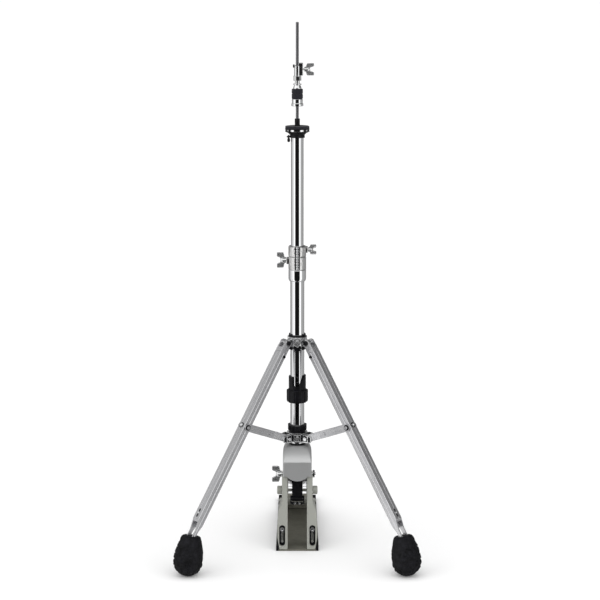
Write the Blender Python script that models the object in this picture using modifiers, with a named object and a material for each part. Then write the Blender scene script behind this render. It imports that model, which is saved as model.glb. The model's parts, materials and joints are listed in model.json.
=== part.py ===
"""Two-legged hi-hat stand with a direct-pull pedal on a base plate, without cymbals.

The stand's tube is the Z axis and the floor is z = 0.  The two legs point to -Y, left and
right of the tube, and the pedal runs to +Y.  Every dimension is in millimetres; the helpers
turn them into metres.
"""
import math

import bmesh
import bpy
from mathutils import Matrix, Vector

MM = 0.001
GAP = 0.3                     # between pieces that touch
RUN = 0.4                     # radial clearance of a turning or sliding fit

# tubes and rods
LOWER_R, LOWER_BORE = 14.3, 13.1
LOWER_Z = (168.0, 606.0)
SLOT_W, SLOT_Z = 7.0, (273.0, 373.0)
UPPER_R, UPPER_BORE = 12.7, 11.3
UPPER_Z = (520.0, 857.0)
ROD_R = 3.0
PULL_ROD_Z = (157.0, 440.0)
UPPER_ROD_Z = (462.0, 1081.0)

# tripod geometry in the plane of a leg: distance from the tube's axis, and height
LEG_AZIMUTH = 49.0
HUB_PIVOT = (31.0, 437.0)
BRACE_PIVOT = (34.0, 238.4)
LEG_PIN = (140.4, 279.5)
FOOT_TOP = (277.5, 80.0)
FOOT_BALL = (287.0, 29.0)
FOOT_R = 29.0

# leg extrusion and its fittings
LEG_SIDE, LEG_WALL = 18.0, 1.7
LEG_START, LEG_END = 22.3, 436.0
LUG_HALF = 4.4
CHEEK_IN = 4.7
BRACE_HEIGHT = 15.5
BRACE_BAR = (9.4, 11.4)

# clamps on the tubes
CLAMP_Z = (561.0, 611.7)
LOCK_Z = (612.0, 633.3)
CLAMP_R = 18.0
HEIGHT_SCREW_Z = 604.0
LOCK_SCREW_Z = 625.5

# spring adjuster
SLEEVE_Z = (309.0, 366.0)
KNOB_Z = (309.3, 336.0)
SPRING_PIN_Z = 310.0
SPRING_Z = (323.4, 394.7)
SPRING_R, SPRING_WIRE_R, SPRING_TURNS = 9.2, 0.9, 7

# pedal frame
HOOD_X, HOOD_FRONT, HOOD_BACK = 29.5, -40.0, 26.0
HOOD_Z = (150.0, 191.0, 221.0)
POST_IN, POST_TOP_OUT, POST_OUT = 20.0, 31.5, 41.2
POST_Y = (-30.0, 16.0)
POST_TOP = 159.7
FRAME_BOLT = (-20.0, 162.0)
AXLE = (10.0, 119.0)
SPUR_X, SPUR_Y = 31.2, -16.0

# base and footboard
BASE_T, BASE_FRONT, BASE_BACK = 3.0, -30.0, 345.0
BASE_HALF = (38.6, 36.4)
TRIM_W, TRIM_H = 5.0, 10.0
HEEL_AXIS = (258.0, 20.0)
TOE_PIN = (0.0, 103.0)
STRAP_PIN_Z = 148.0
STRAP_HALF = 11.0
BOARD_T = 6.0

# clutch and seat
TILT_AXIS = (15.5, 0.0, 858.2)
TILT_SCREW_R, TILT_SCREW_YAW = 17.5, 10.0
CLUTCH_Z = 914.9


def line_angle(start, end):
    """Angle of the line from start to end, from straight down, in degrees."""
    return math.degrees(math.atan2(end[0] - start[0], start[1] - end[1]))


LEG_TILT = line_angle(HUB_PIVOT, LEG_PIN)
LEG_PIN_DISTANCE = math.dist(HUB_PIVOT, LEG_PIN)
BRACE_LENGTH = math.dist(BRACE_PIVOT, LEG_PIN)
BRACE_RISE = math.degrees(math.asin((LEG_PIN[1] - BRACE_PIVOT[1]) / BRACE_LENGTH))
SIDES = (("left", -90.0 - LEG_AZIMUTH), ("right", -90.0 + LEG_AZIMUTH))


# ---------------------------------------------------------------- helpers

def new_collection(name):
    group = bpy.data.collections.new(name)
    bpy.context.scene.collection.children.link(group)
    return group


def finish(name, colour, roughness, metallic):
    material = bpy.data.materials.new(name)
    material.use_nodes = True
    shader = material.node_tree.nodes["Principled BSDF"]
    shader.inputs["Base Color"].default_value = (*colour, 1.0)
    shader.inputs["Roughness"].default_value = roughness
    shader.inputs["Metallic"].default_value = metallic
    material.diffuse_color = (*colour, 1.0)
    return material


def place(obj, at, turn, parent):
    obj.location = Vector(at) * MM
    obj.rotation_euler = [math.radians(angle) for angle in turn]
    obj.parent = parent


def add(name, mesh, mat, at, turn, parent):
    """A part when it has a material, or else a cutter or a shape to be joined to a part."""
    obj = bpy.data.objects.new(name, mesh)
    if mat is None:
        TOOLS.objects.link(obj)
        obj.hide_render = True
        obj.display_type = "WIRE"
    else:
        PARTS.objects.link(obj)
        mesh.materials.append(mat)
    place(obj, at, turn, parent)
    return obj


def empty(name, at=(0, 0, 0), turn=(0, 0, 0), parent=None):
    obj = bpy.data.objects.new(name, None)
    PARTS.objects.link(obj)
    place(obj, at, turn, parent)
    return obj


def mesh_of(name, form, smooth=False):
    mesh = bpy.data.meshes.new(name)
    form.to_mesh(mesh)
    form.free()
    if smooth:
        mesh.shade_smooth()
        mesh.set_sharp_from_angle(angle=math.radians(35))
    return mesh


def box(name, size, mat=None, at=(0, 0, 0), turn=(0, 0, 0), parent=None, round_by=0.0):
    form = bmesh.new()
    scale = Matrix.Diagonal((size[0] * MM, size[1] * MM, size[2] * MM, 1.0))
    bmesh.ops.create_cube(form, size=1.0, matrix=scale)
    obj = add(name, mesh_of(name, form), mat, at, turn, parent)
    if round_by:
        bevel(obj, round_by)
    return obj


def rod(name, radius, length, mat=None, at=(0, 0, 0), turn=(0, 0, 0), parent=None, sides=16):
    """A round bar centred on its place, along its own Z."""
    form = bmesh.new()
    bmesh.ops.create_cone(form, cap_ends=True, segments=sides, radius1=radius * MM,
                          radius2=radius * MM, depth=length * MM)
    return add(name, mesh_of(name, form, smooth=sides > 8), mat, at, turn, parent)


def turned(name, profile, mat=None, at=(0, 0, 0), turn=(0, 0, 0), parent=None, steps=20):
    """A turned piece; the profile runs down the outside, and back up a bore if it has one."""
    form = bmesh.new()
    points = [form.verts.new((radius * MM, 0.0, height * MM)) for radius, height in profile]
    for upper, lower in zip(points, points[1:]):
        form.edges.new((upper, lower))
    if profile[0][0] > 0.0:
        form.edges.new((points[-1], points[0]))
    obj = add(name, mesh_of(name, form), mat, at, turn, parent)
    screw = obj.modifiers.new("Turn", "SCREW")
    screw.steps = steps
    screw.render_steps = steps
    screw.use_merge_vertices = True
    screw.merge_threshold = 0.00001
    return obj


def ring(outer, bore, low, high, chamfer=0.6):
    """Profile of a plain sleeve with chamfered outer edges."""
    return [(bore, high), (outer - chamfer, high), (outer, high - chamfer),
            (outer, low + chamfer), (outer - chamfer, low), (bore, low)]


def plate(name, outline, thickness, mat=None, at=(0, 0, 0), turn=(0, 0, 0), parent=None):
    """A flat outline in the piece's own XY, thick along Z, as a mesh."""
    flat = bpy.data.curves.new(name, "CURVE")
    flat.dimensions = "2D"
    flat.fill_mode = "BOTH"
    flat.extrude = thickness * MM / 2
    spline = flat.splines.new("POLY")
    spline.points.add(len(outline) - 1)
    for point, (across, along) in zip(spline.points, outline):
        point.co = (across * MM, along * MM, 0.0, 1.0)
    spline.use_cyclic_u = True
    return add(name, curve_mesh(name, flat), mat, at, turn, parent)


def curve_mesh(name, curve):
    """The curve as a closed mesh with its caps welded on."""
    guide = bpy.data.objects.new(name + "_guide", curve)
    TOOLS.objects.link(guide)
    graph = bpy.context.evaluated_depsgraph_get()
    mesh = bpy.data.meshes.new_from_object(guide.evaluated_get(graph))
    bpy.data.objects.remove(guide, do_unlink=True)
    form = bmesh.new()
    form.from_mesh(mesh)
    bmesh.ops.remove_doubles(form, verts=form.verts, dist=0.00001)
    bmesh.ops.recalc_face_normals(form, faces=form.faces)
    form.to_mesh(mesh)
    form.free()
    mesh.name = name
    return mesh


def bevel(obj, width, segments=2, angle=30.0):
    modifier = obj.modifiers.new("Edges", "BEVEL")
    modifier.width = width * MM
    modifier.segments = segments
    modifier.limit_method = "ANGLE"
    modifier.angle_limit = math.radians(angle)
    return modifier


def combine(obj, other, operation):
    modifier = obj.modifiers.new(operation.title(), "BOOLEAN")
    modifier.operation = operation
    modifier.object = other
    modifier.solver = "EXACT"
    return obj


def cut(obj, *tools):
    for tool in tools:
        combine(obj, tool, "DIFFERENCE")
    return obj


def fuse(obj, *shapes):
    for shape in shapes:
        combine(obj, shape, "UNION")
    return obj


def arc(centre, radius, start, end, count=6):
    """Points on an arc, from one angle to another, in degrees."""
    step = (end - start) / (count - 1)
    angles = [math.radians(start + step * i) for i in range(count)]
    return [(centre[0] + radius * math.cos(a), centre[1] + radius * math.sin(a)) for a in angles]


def polar(distance, yaw, height):
    angle = math.radians(yaw)
    return (distance * math.cos(angle), distance * math.sin(angle), height)


# ---------------------------------------------------------------- shared fasteners

def wing_outline(scale):
    """Half of a wing: a slanted arm that ends in a broad paddle; X is away from the hub."""
    half = [(0.5, 5.0), (5.0, 6.5), (8.0, 15.8), (19.0, 15.8), (19.0, 8.0), (11.5, 4.5)]
    lower = [(x, -y) for x, y in reversed(half)]
    return [(x * scale, y * scale) for x, y in half + lower][::-1]


def wing_screw(name, mat, at, parent, turn, shank, scale=1.0, shank_r=2.8, roll=90.0):
    """A screw with two wings; the head points along its own +Z, and roll 90 stands the wings up."""
    head = 6.2 * scale
    profile = [(0.0, 11.0 * scale), (head * 0.6, 11.0 * scale), (head, 8.0 * scale),
               (head, 0.4), (shank_r, 0.4), (shank_r, -shank), (0.0, -shank)]
    screw = turned(name, profile, mat, at, turn, parent, steps=12)
    wings = plate(name + "_wings", wing_outline(scale), 4.2 * scale, None, at, turn, parent)
    # the wings' own X is the turned piece's Z
    wings.rotation_euler = (screw.rotation_euler.to_matrix()
                            @ Matrix.Rotation(math.radians(roll), 3, "Z")
                            @ Matrix.Rotation(math.radians(-90), 3, "Y")).to_euler()
    return fuse(screw, wings)


def hex_bolt(name, mat, at, turn, parent, radius, height):
    """Chamfered head that stands on its place, along local Z."""
    profile = [(0.0, height), (radius - 0.5, height), (radius, height - 0.5), (radius, 0.0),
               (0.0, 0.0)]
    return turned(name, profile, mat, at, turn, parent, steps=12)


# ---------------------------------------------------------------- base and pedal frame

def make_base():
    half_front, half_back = BASE_HALF
    outline = [(-half_front, BASE_FRONT), (half_front, BASE_FRONT),
               (half_back, BASE_BACK - 8), (half_back - 8, BASE_BACK),
               (8 - half_back, BASE_BACK), (-half_back, BASE_BACK - 8)]
    base = plate("base_plate", outline, BASE_T, PLATE, at=(0, 0, BASE_T / 2))
    for side in (-1, 1):
        cut(base, rod("spur_hole", 4.4, 8, at=(side * SPUR_X, SPUR_Y, 1.5)))
    # one rubber strip runs along both sides and round the back
    back = BASE_BACK + GAP + TRIM_W
    side_y = (BASE_FRONT + back) / 2
    long = back - BASE_FRONT
    lean = math.degrees(math.atan2(half_front - half_back, long))
    middle = (half_front + half_back + TRIM_W) / 2 + GAP
    trim = box("base_trim", (2 * half_back + TRIM_W, TRIM_W, TRIM_H), RUBBER,
               (0, back - TRIM_W / 2, TRIM_H / 2 + GAP))
    for side in (-1, 1):
        fuse(trim, box("side_trim", (TRIM_W, long, TRIM_H - 0.2), turn=(0, 0, side * lean),
                       at=(side * middle, side_y, TRIM_H / 2 + GAP)))


def make_heel():
    y, z = HEEL_AXIS
    front, back = y + 7.5, BASE_BACK - 3
    heel = box("heel_plate", (70, back - front, 15), PLATE, (0, (front + back) / 2, 3.3 + 7.5),
               round_by=2.0)
    # lugs that hold the hinge pin, outside and between the footboard's barrels
    for x, width in ((-32.6, 4.8), (0.0, 17.6), (32.6, 4.8)):
        lug = rod("heel_lug", 6.0, width, at=(x, y, z), turn=(0, 90, 0))
        web = box("heel_web", (width, 14, 8), at=(x, y + 5, z - 6))
        fuse(heel, lug, web)
    cut(heel, rod("heel_bore", 2.5 + RUN, 90, at=(0, y, z), turn=(0, 90, 0)))
    rod("heel_pin", 2.5, 71, STEEL, (0, y, z), (0, 90, 0), sides=12)


def post_outline(side):
    """Front outline of one post of the yoke, from the hood down to the base plate."""
    tongue_out = 24.5
    outline = [(POST_IN, 3.3), (37.4, 3.3), (38.4, 12), (POST_OUT, 28), (POST_OUT, 52),
               (39.2, 84), (32.0, 102),
               (31.0, 108), (POST_TOP_OUT, 146), (POST_TOP_OUT, POST_TOP), (tongue_out, POST_TOP),
               (tongue_out, 172), (POST_IN, 172)]
    return [(side * x, z) for x, z in outline]


def make_yoke():
    depth = POST_Y[1] - POST_Y[0]
    middle = (POST_Y[0] + POST_Y[1]) / 2
    yoke = box("pedal_yoke", (2 * POST_IN + 4, 4, 40), CASTING, (0, POST_Y[1] - 2, 131))
    for side in (-1, 1):
        post = plate("post", post_outline(side), depth, None, (0, middle, 0), (90, 0, 0))
        fuse(yoke, post)
    for side in (-1, 1):
        x = side * SPUR_X
        recess = key_slot("recess", 6.4, (10.5, 55.5), 8.0)
        recess.location = Vector((x, POST_Y[0], 0)) * MM
        slot = key_slot("slot", 2.9, (17.0, 51.0), 30.0)
        slot.location = Vector((x, SPUR_Y - 11.5, 0)) * MM
        bore = rod("spur_bore", 3.9, 66, at=(x, SPUR_Y, 33), sides=12)
        cut(yoke, recess, slot, bore)
    cut(yoke, rod("axle_bore", 3.3, 100, at=(0, *AXLE), turn=(0, 90, 0)),
        rod("bolt_bore", 3.4, 100, at=(0, *FRAME_BOLT), turn=(0, 90, 0)))
    # cross axle and the two round caps outside the posts
    axle = rod("cross_axle", 2.9, 2 * POST_TOP_OUT + 10, CASTING, (0, *AXLE), (0, 90, 0), sides=12)
    for side in (-1, 1):
        cap = [(0, 10.4), (7.6, 10.4), (8.8, 9.2), (8.8, 0.0), (0, 0.0)]
        fuse(axle, turned("axle_cap", cap, None, (side * (POST_TOP_OUT + GAP), *AXLE),
                          (0, side * 90, 0), steps=20))


def key_slot(name, half, span, depth):
    """Cutter with round ends, upright, as deep as given to both sides of its place."""
    top = arc((0, span[1] - half), half, 0, 180, 7)
    bottom = arc((0, span[0] + half), half, 180, 360, 7)
    return plate(name, top + bottom, depth, None, (0, 0, 0), (90, 0, 0))


def make_spurs():
    for label, side in (("left", -1), ("right", 1)):
        joint = empty(label + "_spur_slide", (side * SPUR_X, SPUR_Y, 0))
        spur = turned(label + "_spur", [(0, 56), (3.4, 56), (3.4, 6), (0.5, 1.2), (0, 1.2)],
                      CHROME, parent=joint, steps=12)
        screw = [(0, 3.4), (4.2, 3.4), (4.8, 2.8), (4.8, 0.0), (2.4, 0.0), (2.4, -8.0), (0, -8.0)]
        fuse(spur, turned("spur_screw", screw, None, (0, -10.3, 45), (90, 0, 0), joint, steps=12))
        cut(spur, rod("socket", 2.2, 4.0, at=(0, -13.7, 45), turn=(90, 0, 0), parent=joint,
                      sides=6))


def make_hood():
    low, crease, top = HOOD_Z
    outline = [(HOOD_FRONT, low), (HOOD_BACK, low), (HOOD_BACK, 205), (HOOD_BACK - 8, top),
               (-20, top), (-27, top - 4), (HOOD_FRONT, crease)]
    hood = plate("frame_hood", outline, 2 * HOOD_X, CASTING, turn=(90, 0, 90))
    soften_sides(hood.data)
    cavity = box("cavity", (49.4, 56, 60), at=(0, -8, 144))
    bore = rod("tube_bore", LOWER_R + GAP, 80, at=(0, 0, 205), sides=20)
    cut(hood, cavity, bore)
    for side in (-1, 1):
        # the posts come up against the hood's side walls
        cut(hood, box("post_room", (12, 80, 20), at=(side * (POST_IN + 5.7), 0, 150)))
        cut(hood, box("edge_room", (8, 80, 20), at=(side * (HOOD_X + 1), 0, 150)))
    cut(hood, rod("bolt_bore", 3.4, 100, at=(0, *FRAME_BOLT), turn=(0, 90, 0)))


def soften_sides(mesh):
    """Round the hood's upper side edges, which are the ones at its full width."""
    form = bmesh.new()
    form.from_mesh(mesh)
    limit = (HOOD_X - 0.1) * MM
    edges = []
    for edge in form.edges:
        first, second = edge.verts
        side = min(abs(first.co.z), abs(second.co.z)) > limit
        outer = len(edge.link_faces) == 2 and edge.calc_face_angle(0) > 0.5
        high = max(first.co.y, second.co.y) > 195 * MM
        if side and outer and high:
            edges.append(edge)
    bmesh.ops.bevel(form, geom=edges, offset=13 * MM, segments=4, profile=0.5, affect="EDGES")
    form.to_mesh(mesh)
    form.free()


def make_frame_bolt():
    y, z = FRAME_BOLT
    joint = empty("frame_bolt_axis", (0, y, z))
    wing_screw("frame_wing_screw", CHROME, (-POST_TOP_OUT, 0, 0), joint, (0, -90, 0),
               2 * POST_TOP_OUT + 6.0, scale=1.05)
    turned("frame_nut", [(3.4, 4.2), (8.0, 4.2), (8.0, 0.3), (3.4, 0.3)], CHROME,
           (POST_TOP_OUT, y, z), (0, 90, 0), steps=6)


# ---------------------------------------------------------------- footboard, strap, pull rod

def make_footboard():
    y, z = HEEL_AXIS
    joint = empty("footboard_hinge", (0, y, z))
    reach = y - TOE_PIN[0]
    rise = TOE_PIN[1] - z
    slope = math.degrees(math.atan2(rise, reach))
    long = math.hypot(rise, reach)
    # outline along the slope: X across, Y from the heel axis to the toe
    toe_body = long - 27.0
    half = [(30.4, 10.0), (39.0, 16.0), (40.0, 120.0), (37.0, toe_body - 22), (31.0, toe_body),
            (14.5, toe_body + 2.0), (14.5, long - 6.6)]
    outline = half + [(-x, s) for x, s in reversed(half)]
    board = plate("footboard", outline, BOARD_T, CASTING, turn=(slope, 0, 180), parent=joint)
    for x in (-19.7, 19.7):
        barrel = rod("barrel", 6.0, 20.0, at=(x, 0, 0), turn=(0, 90, 0), parent=joint)
        link = box("link", (20.0, 16.0, BOARD_T), at=(x, -8, 2.5), turn=(-slope, 0, 0),
                   parent=joint)
        fuse(board, barrel, link)
    cut(board, rod("pin_bore", 2.5 + RUN, 90, at=(0, 0, 0), turn=(0, 90, 0), parent=joint))
    make_toe_clamp(joint, slope, long)


def make_toe_clamp(joint, slope, long):
    """Jaw at the toe, open to the front and the top, that holds the strap's pin."""
    y, z = HEEL_AXIS
    at = (0, TOE_PIN[0] - y, TOE_PIN[1] - z)
    nose = long - 6.6 + GAP - 20.0
    jaw = plate("toe_clamp", [(-6, -6), (10.5, -6), (10.5, 1.5), (5, 6), (-3, 6), (-6, 3)], 29.0,
                PLATE, at, (90, 0, 90), joint)
    cut(jaw, box("strap_room", (23.0, 15.0, 30.0), at=(0, at[1] - 1.0, at[2] + 4), parent=joint),
        rod("toe_bore", 2.8, 60, at=at, turn=(0, 90, 0), parent=joint),
        box("board_room", (40, 40, BOARD_T + 2 * GAP), parent=joint, turn=(-slope, 0, 0),
            at=(0, -nose * math.cos(math.radians(slope)), nose * math.sin(math.radians(slope)))))
    rod("toe_pin", 2.4, 29.0, STEEL, at, (0, 90, 0), joint, sides=12)


def make_strap(slide):
    joint = empty("strap_hinge", (0, 0, STRAP_PIN_Z), parent=slide)
    drop = TOE_PIN[1] - STRAP_PIN_Z
    band = [(-1.5, drop), (1.5, drop), (1.5, 0), (-1.5, 0)]
    strap = plate("strap", band, 2 * STRAP_HALF, RUBBER, turn=(90, 0, 90), parent=joint)
    for z, bore in ((0.0, 2.9), (drop, 3.3)):
        eye = rod("eye", bore + 1.8, 2 * STRAP_HALF, at=(0, 0, z), turn=(0, 90, 0), parent=joint)
        fuse(strap, eye)
    for z, bore in ((0.0, 2.9), (drop, 3.3)):
        cut(strap, rod("eye_bore", bore, 40, at=(0, 0, z), turn=(0, 90, 0), parent=joint))


def make_pull_rod():
    slide = empty("rod_slide")
    low, high = PULL_ROD_Z
    lower = rod("pull_rod", ROD_R, high - low, STEEL, (0, 0, (low + high) / 2), parent=slide,
                sides=12)
    fuse(lower, rod("shoulder", 11.6, 5.0, at=(0, 0, 397.7), parent=slide, sides=20))
    rod("upper_rod", ROD_R, UPPER_ROD_Z[1] - UPPER_ROD_Z[0], STEEL,
        (0, 0, sum(UPPER_ROD_Z) / 2), parent=slide, sides=12)
    coupler = turned("rod_coupler", ring(6.0, 3.3, 435, 467), STEEL, parent=slide, steps=12)
    cut(coupler, rod("set_screw_hole", 1.2, 8, at=(0, -6, 451), turn=(90, 0, 0), parent=slide))
    fork = box("rod_fork", (29.0, 7.6, 23.0), STEEL, (0, 0, STRAP_PIN_Z + 5.5), parent=slide)
    cut(fork, box("strap_room", (22.8, 20, 20), at=(0, 0, STRAP_PIN_Z - 3.5), parent=slide),
        rod("fork_bore", 2.7, 60, at=(0, 0, STRAP_PIN_Z), turn=(0, 90, 0), parent=slide),
        rod("rod_bore", 3.3, 20, at=(0, 0, 166.5), parent=slide, sides=12))
    rod("strap_pin", 2.4, 30.4, STEEL, (0, 0, STRAP_PIN_Z), (0, 90, 0), slide, sides=12)
    make_strap(slide)
    make_clutch(slide)


# ---------------------------------------------------------------- clutch

def make_clutch(slide):
    """The clutch hangs on the upper rod; heights are from its lower end."""
    joint = empty("clutch_slide", (0, 0, CLUTCH_Z), parent=slide)
    body = turned("clutch_body", [(3.4, 85.5), (6.2, 85.5), (7.0, 84.5), (7.0, 60.0), (8.2, 59.4),
                                  (8.2, 50.5), (5.0, 49.5), (5.0, 7.0), (3.4, 7.0)],
                  CHROME, parent=joint, steps=16)
    boss = box("boss", (13, 9.5, 24), at=(5.0, 0, 73), parent=joint, round_by=1.0)
    fuse(body, boss)
    cut(body, rod("rod_bore", 3.4, 60, at=(0, 0, 75), parent=joint, sides=12),
        rod("screw_bore", 2.3, 12, at=(9, 0, 73), turn=(0, 90, 0), parent=joint, sides=12))
    turned("clutch_top_nut", [(5.3, 44.2), (8.6, 44.2), (8.6, 42.6), (6.6, 42.2), (8.4, 35.2),
                              (8.4, 34.6), (5.3, 34.6)], CHROME, parent=joint)
    turned("upper_felt", ring(11.3, 5.3, 24.7, 34.2, 1.0), FELT, parent=joint)
    turned("lower_felt", ring(11.3, 5.3, 14.6, 24.2, 1.0), FELT, parent=joint)
    turned("clutch_lower_nut", [(5.3, 14.2), (10.4, 14.2), (10.8, 13.8), (10.8, 5.4), (12.0, 4.8),
                                (12.0, 0.6), (11.4, 0.0), (5.3, 0.0)], CHROME, parent=joint)
    screw = empty("clutch_screw_axis", (0, 0, 73), parent=joint)
    wing_screw("clutch_wing_screw", CHROME, (13.4, 0, 0), screw, (0, 90, 0), 9.4, scale=0.76,
               shank_r=1.9)


# ---------------------------------------------------------------- upper tube and seat

def make_upper_tube():
    slide = empty("upper_tube_slide")
    turned("upper_tube", ring(UPPER_R, UPPER_BORE, *UPPER_Z, chamfer=0.4), CHROME, parent=slide,
           steps=24)
    # the stem carries the rod's bore, the collar that caps the tube and a lug for the tilt screw
    stem = turned("seat_stem", [(3.9, 890.0), (4.8, 890.0), (5.2, 889.4), (5.2, 858.0),
                                (14.9, 857.8), (15.2, 852.0), (13.0, 852.0), (13.0, 857.3),
                                (3.9, 857.3)], BLACK, parent=slide)
    yaw = 180.0 + TILT_SCREW_YAW
    fuse(stem, box("tilt_lug", (7.0, 6.4, 3.2), at=polar(17.6, yaw, 854.0), turn=(0, 0, yaw),
                   parent=slide))
    at = polar(TILT_SCREW_R, yaw, 850.0)
    cut(stem, rod("tilt_bore", 1.9, 12, at=(at[0], at[1], 854.0), parent=slide, sides=12))
    # the cup tips about its right-hand lower edge
    tilt = empty("seat_tilt", TILT_AXIS, parent=slide)
    offset = (-TILT_AXIS[0], 0, -TILT_AXIS[2])
    cup = turned("seat_cup", [(6.8, 869.0), (24.2, 869.0), (25.0, 868.2), (25.0, 866.6),
                              (22.5, 864.2), (18.0, 861.0), (16.2, 858.4), (6.8, 858.4)],
                 BLACK, offset, parent=tilt)
    seat_windows(cup, tilt)
    turned("seat_felt", ring(24.2, 7.2, 869.6, 877.0, 1.2), FELT, offset, parent=tilt)
    screw = empty("tilt_screw_axis", at, parent=slide)
    turned("tilt_screw", [(0, 7.4), (1.5, 7.4), (1.5, 1.2), (2.6, -0.6), (3.0, -3.0), (2.6, -5.2),
                          (1.4, -6.8), (0, -7.0)], BLACK, parent=screw, steps=12)


def seat_windows(cup, tilt):
    """Slots through the rim of the cup, all round it."""
    for index in range(10):
        yaw = 36.0 * index + 18.0
        at = Vector(polar(23.0, yaw, 867.6)) - Vector(TILT_AXIS)
        cut(cup, box("window", (8.0, 9.0, 1.9), at=at, turn=(0, 0, yaw), parent=tilt))


# ---------------------------------------------------------------- lower tube and clamps

def make_lower_tube():
    tube = turned("lower_tube", ring(LOWER_R, LOWER_BORE, *LOWER_Z, chamfer=0.3), CHROME, steps=24)
    low, high = SLOT_Z
    half = SLOT_W / 2
    outline = arc((0, high - half), half, 0, 180, 7) + arc((0, low + half), half, 180, 360, 7)
    cut(tube, plate("slot", outline, 16, None, (0, -14, 0), (90, 0, 0)))
    turned("clamp_bushing", ring(LOWER_R, UPPER_R + RUN, LOWER_Z[1] + GAP, CLAMP_Z[1] - 0.2, 0.2),
           BLACK, steps=20)


def make_tube_clamp():
    low, high = CLAMP_Z
    clamp = turned("tube_clamp", [(LOWER_R + GAP, high), (16.6, high), (CLAMP_R - 0.4, high - 1.2),
                                  (CLAMP_R - 0.4, low + 24), (CLAMP_R, low + 23), (CLAMP_R, low + 5),
                                  (CLAMP_R - 1.2, low + 1.5), (16.0, low), (LOWER_R + GAP, low)],
                   CHROME, steps=20)
    pad = box("clamp_pad", (6.6, 13.0, 13.0), at=(-18.8, 0, HEIGHT_SCREW_Z - 1))
    fuse(clamp, pad)
    cut(clamp, rod("screw_bore", 3.2, 14, at=(-20, 0, HEIGHT_SCREW_Z), turn=(0, 90, 0), sides=12))
    joint = empty("height_screw_axis", (0, 0, HEIGHT_SCREW_Z))
    wing_screw("height_wing_screw", CHROME, (-22.4, 0, 0), joint, (0, -90, 0), 7.2, scale=0.98)


def make_memory_lock():
    low, high = LOCK_Z
    slide = empty("memory_lock_slide", (0, 0, low))
    tall = high - low
    lock = turned("memory_lock", ring(CLAMP_R, UPPER_R + RUN, 0, tall, 1.4), CHROME, parent=slide,
                  steps=20)
    pad = box("lock_pad", (6.6, 13.0, 12.0), at=(17.9, 0, LOCK_SCREW_Z - low), parent=slide)
    fuse(lock, pad)
    cut(lock, rod("screw_bore", 3.2, 14, at=(20, 0, LOCK_SCREW_Z - low), turn=(0, 90, 0),
                  parent=slide, sides=12),
        box("index_slot", (6.4, 10, 3.0), at=(0, -17.2, 1.0), parent=slide))
    joint = empty("memory_screw_axis", (0, 0, LOCK_SCREW_Z - low), parent=slide)
    wing_screw("memory_wing_screw", CHROME, (21.9, 0, 0), joint, (0, 90, 0), 8.2, scale=0.84,
               roll=35.0)


# ---------------------------------------------------------------- spring and its adjuster

def make_tension():
    slide = empty("tension_slide")
    low, high = SLEEVE_Z
    sleeve = turned("tension_sleeve", ring(17.6, LOWER_R + RUN, low, high, 0.5), BLACK,
                    parent=slide, steps=20)
    scoop = [(-9.6, 344.5), (2.0, 344.5), (7.0, 350.0), (13.6, 364.0), (14.0, 372.0), (-9.6, 372.0)]
    cut(sleeve, plate("scoop", scoop, 16, None, (0, -16, 0), (90, 0, 0), slide),
        box("left_step", (12, 40, 6), at=(-14, 0, high + 0.6), parent=slide),
        rod("pin_bore", 3.3, 12, at=(0, -16, SPRING_PIN_Z + 5.5), turn=(90, 0, 0), parent=slide,
            sides=12))
    seat = turned("spring_seat", ring(12.4, 4.0, SPRING_PIN_Z - 2, SPRING_PIN_Z + 13, 0.5), STEEL,
                  parent=slide, steps=20)
    fuse(seat, rod("spring_pin", 2.9, 10.2, at=(0, -11.9, SPRING_PIN_Z + 5.5), turn=(90, 0, 0),
                   parent=slide, sides=12))
    turn = empty("tension_knob_axis", parent=slide)
    knob = turned("tension_knob", [(17.9, KNOB_Z[1]), (20.4, KNOB_Z[1]), (20.8, KNOB_Z[1] - 1),
                                   (20.8, KNOB_Z[0] + 3), (18.8, KNOB_Z[0]), (17.9, KNOB_Z[0])],
                  BLACK, parent=turn, steps=20)
    for index in range(10):
        yaw = 36.0 * index
        rib = box("rib", (3.0, 4.6, KNOB_Z[1] - KNOB_Z[0] - 4), parent=turn, turn=(0, 0, yaw),
                  at=polar(20.4, yaw, sum(KNOB_Z) / 2 + 1.2))
        fuse(knob, rib)
    make_spring()


def make_spring():
    low, high = SPRING_Z
    wire = bpy.data.curves.new("spring", "CURVE")
    wire.dimensions = "3D"
    wire.bevel_depth = SPRING_WIRE_R * MM
    wire.bevel_resolution = 1
    wire.use_fill_caps = True
    count = SPRING_TURNS * 8 + 1
    spline = wire.splines.new("POLY")
    spline.points.add(count - 1)
    for index, point in enumerate(spline.points):
        share = index / (count - 1)
        angle = 2 * math.pi * SPRING_TURNS * share
        height = low + SPRING_WIRE_R + (high - low - 2 * SPRING_WIRE_R) * share
        point.co = (SPRING_R * math.cos(angle) * MM, SPRING_R * math.sin(angle) * MM, height * MM, 1)
    add("return_spring", curve_mesh("return_spring", wire), STEEL, (0, 0, 0), (0, 0, 0), None)


# ---------------------------------------------------------------- hubs, legs and braces

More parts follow.
